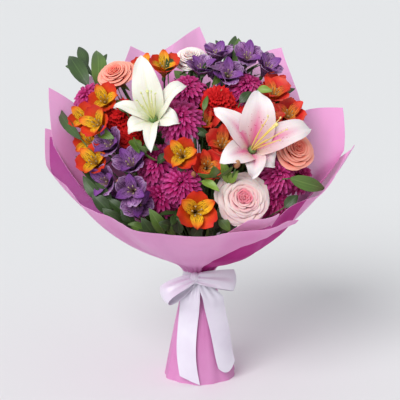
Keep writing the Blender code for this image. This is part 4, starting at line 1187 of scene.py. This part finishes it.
def meridian(angle, share):
    """Return radius, height and outward normal of the wrap at an angle and a share."""
    front = math.cos(angle)
    far_pull, far_rim = (FRONT_PULL, FRONT_RIM) if front > 0 else (BACK_PULL, BACK_RIM)
    blend = abs(front) ** 0.9
    pull = Vector(SIDE_PULL).lerp(Vector(far_pull), blend)
    rim = Vector(SIDE_RIM).lerp(Vector(far_rim), blend)
    neck, rise = Vector(NECK), Vector(NECK_RISE)
    place = curve_point((neck, rise, pull, rim), share)
    rest = 1 - share
    slope = ((rise - neck) * rest ** 2 + (pull - rise) * 2 * rest * share
             + (rim - pull) * share ** 2).normalized()
    return place.x, place.y, slope.y, -slope.x


def clear_inside(place):
    """Tell whether a place lies inside the wrap with room to spare."""
    angle = math.atan2(place.x, -place.y)
    radius = math.hypot(place.x, place.y)
    for step in range(30):
        wall_radius, wall_height, out, down = meridian(angle, step / 29)
        if wall_height > place.z:
            return radius < wall_radius * (1 - PLEAT_DEPTH) - 0.004
    return radius < ABOVE_RIM * wall_radius


# %% Leaves on the stems
LEAF_COLUMNS = 4
LEAF_ROWS = 8


def leaf(root, tip, width, sag, face, finish):
    """Bend one leaf from its root to its tip: its blade faces a way, and it arches by sag."""
    ahead = tip - root
    side = ahead.cross(face).normalized()
    up = side.cross(ahead).normalized()

    def rule(across, along):
        half = width / 2 * outline(along, 0.8, 0.8)
        arch = sag * ahead.length * (1 - (2 * along - 1) ** 2)
        fold = 0.30 * half * abs(across) + 0.0006 * math.sin(9 * along + 3 * across)
        return root + ahead * along + side * half * across + up * (arch + fold)

    return blade("leaf", LEAF_COLUMNS, LEAF_ROWS, rule, 0.0006, finish)


stem_runs = []
for name, node in nodes.items():
    for edge in node.data.edges if holds_stem(name) or name.startswith("alstroemeria") else ():
        first, second = (node.data.vertices[index].co.copy() for index in edge.vertices)
        steep = abs(first.z - second.z) > 0.8 * (first - second).length
        if (first - second).length > 0.028 and steep and max(first.z, second.z) > 0.21:
            stem_runs.append((first, second))
for piece in bpy.context.scene.objects:
    if piece.name.endswith("_bloom"):
        corners = np.empty((len(piece.data.vertices), 3))
        piece.data.vertices.foreach_get("co", corners.ravel())
        centre = corners.mean(axis=0)
        reach = np.percentile(np.linalg.norm(corners - centre, axis=1), 60)
        bloom_balls.append((Vector(centre), float(reach)))
print("stem runs", len(stem_runs), "blooms", len(bloom_balls))

BINDING = UP * 0.185


def stalk(end, pull, radius):
    """Draw the thin stem that runs from a leaf or a bud down to the binding."""
    start = BINDING + Vector((end.x, end.y, 0)).normalized() * 0.010
    push = start.lerp(end, 0.35) + UP * 0.010
    return curved_strand((end, pull, push, start), [radius] * 9, STEM_GREEN)[0]


FILLER_COUNT = 260
FILLER_TRIES = 7000
FILLER_LOW, FILLER_HIGH = 0.212, 0.445
dice = random.Random(21)
fillers = []
tries = 0
while len(fillers) < FILLER_COUNT and tries < FILLER_TRIES:
    tries += 1
    first, second = dice.choice(stem_runs)
    root = first.lerp(second, dice.random())
    if not FILLER_LOW < root.z < FILLER_HIGH:
        continue
    outward = Vector((root.x, root.y, 0)).normalized()
    outward = Matrix.Rotation(dice.uniform(-1.0, 1.0), 3, "Z") @ outward
    heading = (outward + UP * dice.uniform(0.4, 1.3)).normalized()
    tip = root + heading * dice.uniform(0.044, 0.078)
    spots = [root.lerp(tip, share) for share in (0.35, 0.7, 1.0)]
    if not all(clear_inside(spot) for spot in spots):
        continue
    if any((spot - centre).length < reach for spot in spots for centre, reach in bloom_balls):
        continue
    # Three leaves in four take the darkest green, as painted shade in the gaps inside the bouquet.
    finish = DARK_LEAF_AND_SHADE if dice.random() < 0.75 else MID
    face = Matrix.Rotation(dice.uniform(-0.9, 0.9), 3, heading) @ (outward + UP)
    fillers.append(leaf(root, tip, dice.uniform(0.015, 0.025), 0.07, face, finish))
settle_in(join(fillers, "stem_leaves"), "leaf")
print("leaves on the stems", len(fillers), "from", tries, "tries")

# %% Leaves between the blooms
# Root and tip in millimetres, each as seen across and up and how far it stands out, then the
# leaf's width and its finish
# The dark leaves low on the dome, just above the paper's rim, are painted shade: they fill the gap
# there with the darkest green.
PLACED_LEAVES = (
    (19, 446, 12, 40, 486, 10, 15, MID), (2, 456, 8, 17, 484, 6, 12, DARK_LEAF_AND_SHADE),
    (48, 458, 4, 62, 480, 8, 11, MID), (52, 474, -10, 57, 514, -4, 17, MID),
    (-46, 462, 4, -41, 494, 6, 14, DARK_LEAF_AND_SHADE), (-150, 444, -4, -150, 496, -10, 25, MID),
    (-164, 446, -6, -190, 488, -8, 25, DARK_LEAF_AND_SHADE), (86, 440, 30, 107, 437, 38, 12, LIGHT),
    (6, 408, 22, 12, 430, 24, 8, MID), (-176, 366, 20, -206, 412, 12, 16, DARK_LEAF_AND_SHADE),
    (-108, 406, 26, -122, 424, 26, 11, MID), (-150, 378, 20, -126, 366, 28, 16, MID),
    (-100, 364, 26, -90, 344, 32, 18, MID), (-86, 352, 24, -60, 350, 30, 15, DARK_LEAF_AND_SHADE),
    (-54, 222, 16, -76, 260, 26, 19, MID), (-44, 232, 16, -62, 238, 28, 16, DARK_LEAF_AND_SHADE),
    (42, 300, 16, 32, 334, 32, 15, LIGHT), (44, 300, 16, 58, 318, 34, 12, LIGHT),
    (4, 302, 26, 30, 286, 34, 13, LIGHT), (136, 306, 22, 188, 290, 26, 21, MID),
    (30, 244, 12, 46, 224, 18, 16, MID), (22, 228, 10, 30, 262, 14, 14, DARK_LEAF_AND_SHADE),
    (0, 232, 8, -16, 250, 12, 14, DARK_LEAF_AND_SHADE), (96, 226, 8, 76, 244, 14, 16, DARK_LEAF_AND_SHADE),
    (-118, 232, 10, -146, 260, 20, 20, DARK_LEAF_AND_SHADE), (-100, 236, 4, -118, 262, 10, 17, DARK_LEAF_AND_SHADE),
    (-134, 252, 10, -162, 284, 18, 20, DARK_LEAF_AND_SHADE), (-98, 222, 10, -126, 242, 22, 18, DARK_LEAF_AND_SHADE),
    (-148, 274, 8, -174, 310, 14, 18, DARK_LEAF_AND_SHADE), (-156, 300, 6, -184, 340, 10, 16, DARK_LEAF_AND_SHADE),
    (-66, 216, 8, -92, 228, 20, 17, DARK_LEAF_AND_SHADE), (-10, 216, 8, 6, 240, 14, 16, DARK_LEAF_AND_SHADE),
    (48, 222, 8, 66, 236, 14, 15, DARK_LEAF_AND_SHADE), (-38, 216, 12, -52, 232, 20, 15, MID),
    (-112, 250, 2, -140, 276, 8, 16, DARK_LEAF_AND_SHADE), (-84, 226, 6, -108, 236, 14, 15, MID),
    (-132, 272, 4, -156, 300, 8, 16, DARK_LEAF_AND_SHADE), (-30, 222, 10, -34, 246, 16, 15, DARK_LEAF_AND_SHADE),
    (12, 372, 24, -8, 384, 26, 12, DARK_LEAF_AND_SHADE), (-20, 306, 20, -30, 330, 24, 14, DARK_LEAF_AND_SHADE),
    (-62, 330, 18, -44, 344, 22, 13, DARK_LEAF_AND_SHADE), (100, 396, 16, 84, 410, 20, 13, DARK_LEAF_AND_SHADE),
    (60, 420, 12, 76, 436, 16, 14, DARK_LEAF_AND_SHADE), (-84, 452, 4, -70, 474, 8, 14, DARK_LEAF_AND_SHADE),
    (128, 262, 10, 148, 280, 14, 16, DARK_LEAF_AND_SHADE), (-70, 220, 14, -88, 246, 22, 17, DARK_LEAF_AND_SHADE),
    (-58, 214, 14, -68, 238, 24, 15, DARK_LEAF_AND_SHADE),
)
placed = []
for *ends, width, finish in PLACED_LEAVES:
    root = dome_point(*(value / 1000 for value in ends[:3]))
    tip = dome_point(*(value / 1000 for value in ends[3:]))
    way = tip - root
    face = Matrix.Rotation(dice.uniform(-0.6, 0.6), 3, way) @ (EYE - root)
    placed.append(leaf(root, tip, width / 1000, 0.10, face, finish))
    placed.append(stalk(root, root - way * 0.5, 0.0009))
settle_in(join(placed, "loose_leaves"), "leaf")

# %% Buds
# Place as seen, across and up in millimetres, how far it stands out, length
BUDS = ((-9, 312, 26, 13), (56, 328, 52, 16), (33, 434, 16, 14), (-30, 300, 22, 10),
        (-120, 300, 18, 12))
BUD_SHAPE = ((0.10, -0.5), (0.22, -0.36), (0.30, -0.10), (0.28, 0.14), (0.16, 0.38),
             (0.03, 0.50))
BUD_ROOT = Vector((0, 0.05, 0.15))
BUD_RED = plain_finish("bud_red", (0.34, 0.10, 0.05), (0.46, 0.26, 0.10))
buds = []
for row in BUDS:
    across, up, toward, length = (value / 1000 for value in row)
    place = dome_point(across, up, toward)
    axis = (place - BUD_ROOT).normalized()
    bud = turned(BUD_SHAPE, 10, BUD_RED)
    bud.data.transform(stand(place, axis, place + Vector((1, 0, 0))) @ Matrix.Scale(length, 4))
    end = place - axis * 0.5 * length
    buds += [bud, stalk(end, end - axis * 0.02, 0.0011)]
settle_in(join(buds, "buds"), "leaf")
print("placed leaves", len(PLACED_LEAVES), "buds", len(BUDS))

# %% [markdown]
# ## Paper
# The wrap is seven sheets of stiff, matte floral paper. Each is a fine grid laid on the same
# flared surface as its solid, with its own rim, and the same soft creases run through every
# layer, so that the sheets nest and never cut through each other. The paper lets a little
# light through, and the sheets beside and behind the blooms take a paler copy of it: painted
# light for what shines through them. Its other side is a deep magenta, laid darker still as
# painted shade where it shows under the front sheet's slanting edge; it also shows in the fold
# on the left.
# %% Paper finish


def paper_finish(name, deep, pale, gloss=0.25):
    """Make the matte, slightly translucent paper: faint cloud and fine fibres."""
    recipe = Recipe(name, 0.52)
    place = recipe.place()
    cloud = recipe.ranged(recipe.noise(place, 9.0, 4.0), 0.35, 0.65)
    fibres = recipe.ranged(recipe.noise(place, 900.0), 0.35, 0.75, 0.0, 0.10)
    recipe.relief(recipe.noise(place, 60.0, 5.0), 0.12, 0.0012)
    return recipe.shade({"Base Color": recipe.mix(fibres, recipe.mix(cloud, deep, pale), pale),
                         "Subsurface Weight": 0.35, "Subsurface Scale": 0.02,
                         "Subsurface Radius": (1.0, 0.5, 0.9), "Specular IOR Level": gloss})


PAPER = paper_finish("paper_lilac", (0.78, 0.225, 0.56), (0.84, 0.290, 0.64))
# A paler copy of the same paper for the back and side sheets: painted light for the light that
# comes through them.
PAPER_LIT = paper_finish("paper_lilac_lit", (0.87, 0.245, 0.63), (0.93, 0.315, 0.71))
# The paper's deep magenta other side, and partly painted shade: it is laid dark on the band under
# the front sheet's slanting edge.
PAPER_REVERSE_AND_SHADE = paper_finish("paper_reverse_and_shade", (0.36, 0.016, 0.155), (0.47, 0.028, 0.22), 0.03)

# %% Sheets
# Name, layer from the inside, and the corners of the rim: degrees round the axis, 0 in front
# and 90 on the right, with the share of the meridian that they reach
SHEETS = (
    ("wrap_back", 0, (150, 0.88), (172.5, 0.96), (180, 1.02), (202.5, 0.98), (217.5, 0.92)),
    ("wrap_back_right", 1, (105, 0.82), (120, 0.90), (135, 1.02), (142.5, 1.00), (150, 0.97),
     (172.5, 0.86)),
    ("wrap_back_left", 1, (187.5, 0.88), (202.5, 0.96), (217.5, 1.01), (225, 0.97), (240, 0.99),
     (247.5, 0.94), (255, 0.84)),
    ("wrap_left", 0, (-135, 0.82), (-120, 0.91), (-105, 0.97), (-97.5, 1.04), (-82.5, 0.80)),
    ("wrap_right", 0, (82.5, 0.82), (97.5, 0.99), (120, 0.90), (135, 0.84)),
    ("wrap_front_left", 2, (-105, 0.90), (-97.5, 0.95), (-90, 0.88), (-75, 0.89), (-45, 0.93),
     (-22.5, 0.98), (0, 1.00), (15, 0.99), (30, 0.96), (45, 0.92), (52.5, 0.88)),
    ("wrap_front_right", 1, (2, 0.80), (15, 0.94), (22.5, 1.01), (37.5, 0.98), (45, 0.90),
     (67.5, 0.91), (82.5, 0.98), (90, 0.92), (97.5, 0.80)),
)
COLUMN_STEP = 1.25
SHEET_ROWS = 40
PAPER_THICKNESS = 0.0004
# The slanting lower edge of the front sheet: degrees, and the share where its paper starts
SLANT = ((0, 0.0), (5, 0.0), (8, 0.45), (11, 0.66), (19, 0.78), (24, 0.84), (32, 0.875),
         (42, 0.865), (52.5, 0.86))
# How far the sheet under the slanting edge sags out below it
UNDER_SAG = 0.017
# Where the magenta side shows, darkened as painted shade under the front sheet's slanting
# edge: the sheet, whether it is outside, from and to in degrees, and up to which share of the
# sheet's own length
REVERSE_AND_SHADE = (("wrap_front_right", True, 0, 42, 0.90), ("wrap_front_right", True, 42, 58, 1.0),
            ("wrap_front_left", False, -106, -62, 0.95))


def rim_share(corners, angle):
    """Return the rim's share at an angle, on straight lines between the corners."""
    for (first, low), (last, high) in zip(corners, corners[1:]):
        if angle <= last:
            return low + (high - low) * (angle - first) / (last - first)
    return corners[-1][1]


def crease(angle, share):
    """Return how far the paper stands out by its creases: the same for every layer."""
    turn = (math.cos(angle), math.sin(angle))
    broad = noise.noise(Vector((turn[0] * 2.6, turn[1] * 2.6, share * 1.1)))
    fine = noise.noise(Vector((turn[0] * 8.0, turn[1] * 8.0, share * 2.0 + 7)))
    ridge = (0.5 - abs(fine)) * 0.0022 * share
    gather = 0.0007 * (1 + math.cos(34 * angle + 3 * broad)) * max(1 - 2.4 * share, 0)
    return broad * 0.0050 * share + ridge + gather


def wrap_point(angle, share, layer, extra=0.0):
    """Return a point of the wrap: pleated, creased and offset outward by its layer."""
    radius, height, out, down = meridian(angle, share)
    radius *= 1 + PLEAT_DEPTH * share * math.cos(PLEATS * angle)
    offset = layer * (LAYER_AT_NECK + LAYER_AT_RIM * share) + crease(angle, share) + extra
    radius += out * offset
    height += down * offset
    return Vector((radius * math.sin(angle), -radius * math.cos(angle), height))


def sheet_lift(name, degrees, share):
    """Return a sheet's free lift: its rim curls out, valleys and sags set it off the next."""
    curl = 0.0030 * (max(share - 0.90, 0) / 0.10) ** 2
    if name == "wrap_front_left" and degrees > 28:
        curl += 0.0045 * ((degrees - 28) / 24.5) ** 2 * share
    if name == "wrap_front_left" and degrees < -62:
        curl += 0.0130 * ((-62 - degrees) / 43) * max(share - 0.60, 0) / 0.40
    if name == "wrap_front_right":
        curl -= 0.0130 * math.exp(-((degrees - 53) / 9) ** 2) * max(share - 0.78, 0) / 0.22
        curl += 0.0060 * math.exp(-((degrees - 76) / 8) ** 2) * share
        lip = max(share - 0.76, 0) / 0.18
        curl += 0.0110 * math.exp(-((degrees - 67) / 7) ** 2) * lip ** 2
        if 6 < degrees < 64:
            below = min(max(rim_share(SLANT, degrees) - share - 0.01, 0) / 0.12, 1)
            curl += UNDER_SAG * share * below * math.sin(math.pi * (degrees - 6) / 58) ** 0.7
    return curl


def paper_sheet(name, layer, corners):
    """Lay one sheet on the wrap."""
    first, last = corners[0][0], corners[-1][0]

    def rule(across, along):
        degrees = first + (last - first) * (across + 1) / 2
        low = 0.0
        if name == "wrap_front_left" and degrees > SLANT[0][0]:
            low = rim_share(SLANT, degrees)
        share = low + along * (rim_share(corners, degrees) - low)
        return wrap_point(math.radians(degrees), share, layer + 0.5,
                          sheet_lift(name, degrees, share))

    # Front sheets take the paper, and the others its paler copy as painted light.
    piece = blade(name + "_paper", round((last - first) / COLUMN_STEP), SHEET_ROWS, rule,
                  PAPER_THICKNESS, PAPER if "front" in name else PAPER_LIT)
    piece.data.materials.append(PAPER_REVERSE_AND_SHADE)
    own_map = piece.data.uv_layers.active.data
    for sheet, outside, start, end, top in REVERSE_AND_SHADE:
        for face in piece.data.polygons if sheet == name else ():
            degrees = math.degrees(math.atan2(face.center.x, -face.center.y))
            along = own_map[face.loop_start].uv.y
            if start < degrees < end and along < top and (face.normal.z < 0) == outside:
                face.material_index = 1
    settle_in(piece, "paper", name)


for name, layer, *corners in SHEETS:
    paper_sheet(name, layer, corners)
print("paper sheets", len(SHEETS))

# %% [markdown]
# ## Paper foot
# Below the tie the gathered paper flares out to the table and hides the stems. It is one more
# sheet, rolled once round with a lap at the back, and its folds deepen toward the table.
# %% Foot
FOOT_TOP_Z = 0.1595
FOOT_RADIUS = 0.054
FOOT_ROOM = 0.0006
FOOT_LAP = math.radians(24)
FOOT_COLUMNS = 150
FOOT_ROWS = 24


def foot_radius(height):
    """Return the foot's middle radius at a height."""
    share = 1 - height / FOOT_TOP_Z
    return NECK[0] + FOOT_ROOM + (FOOT_RADIUS - NECK[0]) * share ** 0.9


def foot_rule(across, along):
    """Roll the foot's sheet: a spiral with a lap, and vertical folds that fade upward."""
    angle = (math.pi + FOOT_LAP / 2) * across
    height = FOOT_TOP_Z * along
    fade = 1 - along
    fold = 0.0016 * math.cos(6 * angle) + 0.0010 * math.cos(13 * angle + 1.0)
    fold += 0.0016 * noise.noise(Vector((3 * math.sin(angle), 3 * math.cos(angle), along)))
    lap = 0.0008 * across
    radius = foot_radius(height) + fold * fade + 0.0003 * math.cos(40 * angle) * along + lap
    return Vector((radius * math.sin(angle), -radius * math.cos(angle), height))


foot = blade("wrap_foot_paper", FOOT_COLUMNS, FOOT_ROWS, foot_rule, PAPER_THICKNESS, PAPER)
for corner in foot.data.vertices:
    corner.co.z = max(corner.co.z, 0.0)
settle_in(foot, "paper", "wrap_foot")
print("foot", [round(value * 1000) for value in foot.dimensions], "mm")

# %% [markdown]
# ## Ribbon
# The bow is a 32 mm wide satin ribbon, white with a breath of lilac. Satin has long, soft
# highlights along the ribbon and almost no texture, so its finish is smooth with a sheen and
# very fine threads across. Each run of the ribbon is its own strip: a grid bent along a line,
# gathered where it goes into the knot.
# %% Ribbon finish
RIBBON_WIDTH = 0.032
RIBBON_THICKNESS = 0.00035
recipe = Recipe("satin", 0.30)
threads = recipe.streaks(recipe.own_map()[0], (3, 900, 1), 1.0)
tint = recipe.ranged(recipe.noise(recipe.place(), 24.0), 0.3, 0.7)
recipe.relief(threads, 0.10, 0.0002)
SATIN = recipe.shade({"Base Color": recipe.mix(tint, (0.63, 0.58, 0.68), (0.70, 0.67, 0.75)),
                      "Sheen Weight": 0.35, "Anisotropic": 0.5})

# %% Ribbon runs
BAND_LOW_Z = 0.1415
BAND_HIGH_Z = 0.1660
# The band is wider below, where the foot's paper lies under it, than at the bare neck
BAND_LOW_RADIUS = 0.0268
BAND_HIGH_RADIUS = 0.0246
KNOT = (0.0078, 0.0058, 0.0092)
KNOT_PLACE = Vector((-0.0070, -0.0322, 0.1600))
# Loops: the way it reaches out, the way its ribbon's width points, its reach and its belly
LOOPS = (
    ("left", Vector((-0.86, -0.10, -0.50)), Vector((0.42, -0.70, -0.58)), 0.057, 0.0125),
    ("right", Vector((0.99, -0.06, -0.03)), Vector((0.10, 0.36, 0.93)), 0.062, 0.0120),
)
# Tails: angles round the foot from top to end, the shift of the middle along the ribbon's
# width, the height of the end's left corner, middle and right corner, and its slow waves
TAILS = (
    ("front", (-0.22, -0.52, -0.46, -0.24), -0.0010, (0.0125, 0.0070, 0.0015), 0.4),
    ("right", (0.05, 0.40, 0.50, 0.62), 0.0120, (0.0230, 0.0150, 0.0290), 2.2),
)
TAIL_TOP_Z = 0.1570
TAIL_TOP_RADIUS = 0.0300
TAIL_OFF = 0.0062


def ribbon_run(name, rows, rule, flat_length):
    piece = blade("ribbon_" + name, 14, rows, rule, RIBBON_THICKNESS, SATIN)
    settle_in(piece, "ribbon", "ribbon")


def line_length(rule):
    """Return the length of a run along its middle."""
    points = [rule(0, step / 40) for step in range(41)]
    return sum((second - first).length for first, second in zip(points, points[1:]))


def band_rule(across, along):
    """Wind the band once round the neck with a short lap at the back."""
    angle = math.pi + (2 * math.pi + 0.25) * (along - 0.5)
    middle = (BAND_LOW_Z + BAND_HIGH_Z) / 2
    half = (BAND_HIGH_Z - BAND_LOW_Z) / 2 * (1 - 0.10 * math.cos(angle))
    radius = (BAND_LOW_RADIUS + BAND_HIGH_RADIUS) / 2
    radius += (BAND_HIGH_RADIUS - BAND_LOW_RADIUS) / 2 * across
    radius += 0.0006 * math.cos(3 * math.pi * across + 2 * math.sin(angle))
    radius += 0.0007 * (along - 0.5)
    return Vector((radius * math.sin(angle), radius * math.cos(angle), middle + half * across))


ribbon_run("band", 96, band_rule, math.pi * (BAND_LOW_RADIUS + BAND_HIGH_RADIUS))


def loop_rule(outward, wide, reach, belly):
    """Return the rule of one loop: gathered at the knot, open and rounded at its far end."""
    outward = outward.normalized()
    wide = (wide - outward * wide.dot(outward)).normalized()
    bulge = outward.cross(wide)

    def rule(across, along):
        turn = 2 * math.pi * along
        out = 0.5 * (1 - math.cos(turn))
        open_end = out ** 0.45
        half = RIBBON_WIDTH / 2 * (0.26 + 0.74 * open_end)
        pleat = 0.0026 * math.cos(2.5 * math.pi * across + turn) * (1 - open_end)
        pleat += 0.0009 * math.sin(4.0 * across + 9 * along) * open_end
        bow = belly * math.sin(turn) * (0.40 + 0.60 * out) + pleat
        flare = 0.0040 * across ** 2 * out
        return (KNOT_PLACE + outward * (reach * out - flare) + bulge * bow
                + wide * half * across)

    return rule


for name, outward, wide, reach, belly in LOOPS:
    rule = loop_rule(outward, wide, reach, belly)
    ribbon_run("loop_" + name, 40, rule, line_length(rule))


def tail_rule(angles, shift, ends, phase):
    """Return the rule of one tail: it hangs off the foot with slow waves, its end cut."""
    spline = [Vector((angle, 0)) for angle in angles]
    left, middle, right = ends

    def rule(across, along):
        angle = curve_point(spline, along).x
        end = middle + (right - left) / 2 * across + ((left + right) / 2 - middle) * across ** 2
        height = TAIL_TOP_Z - (TAIL_TOP_Z - end) * along
        free = min(along / 0.20, 1)
        radius = TAIL_TOP_RADIUS + (foot_radius(height) + TAIL_OFF - TAIL_TOP_RADIUS) * free
        radius += 0.0050 * math.sin(math.pi * min(along / 0.34, 1)) ** 2
        radius += 0.0016 * math.sin(3.2 * math.pi * along + phase) * along
        half = RIBBON_WIDTH / 2 * (0.34 + 0.66 * free ** 0.8)
        pleat = 0.0020 * math.cos(2.5 * math.pi * across) * (1 - min(along / 0.3, 1))
        side = Vector((math.cos(angle), math.sin(angle), 0))
        out = Vector((math.sin(angle), -math.cos(angle), 0))
        place = out * (radius + pleat - 0.0014 * across ** 2)
        place += side * (half * across + shift * free)
        return Vector((place.x, place.y, height))

    return rule


for name, angles, shift, ends, phase in TAILS:
    rule = tail_rule(angles, shift, ends, phase)
    ribbon_run("tail_" + name, 44, rule, line_length(rule))

# %% Knot
deselect()
bpy.ops.mesh.primitive_uv_sphere_add(segments=48, ring_count=24, radius=1)
knot = bpy.context.object
for corner in knot.data.vertices:
    place = corner.co.copy()
    fold = 1 + 0.075 * math.cos(9 * math.atan2(place.x, 0.35) * 1.6 + 2.5 * place.z)
    side = abs(place.x) ** 3 * 0.12
    corner.co = Vector((place.x * KNOT[0], place.y * KNOT[1] * fold, place.z * KNOT[2]
                        * (fold + side))) + KNOT_PLACE
bpy.ops.object.shade_smooth()
settle_in(paint(rename(knot, "ribbon_knot"), SATIN), "ribbon", "ribbon")

# %% [markdown]
# ## Tie
# Inside the paper the stems are bound with twine. The solid band stays, and its finish winds
# thin cords round it.
# %% Twine finish
recipe = Recipe("twine", 0.85)
rings = recipe.add("TexWave", {"Vector": recipe.place(), "Scale": 420.0, "Distortion": 1.5},
                   "Fac", bands_direction="Z")
recipe.relief(rings, 0.8, 0.0008)
paint(nodes["tie"], recipe.shade(
    {"Base Color": recipe.mix(rings, (0.20, 0.13, 0.06), (0.48, 0.36, 0.20))}))
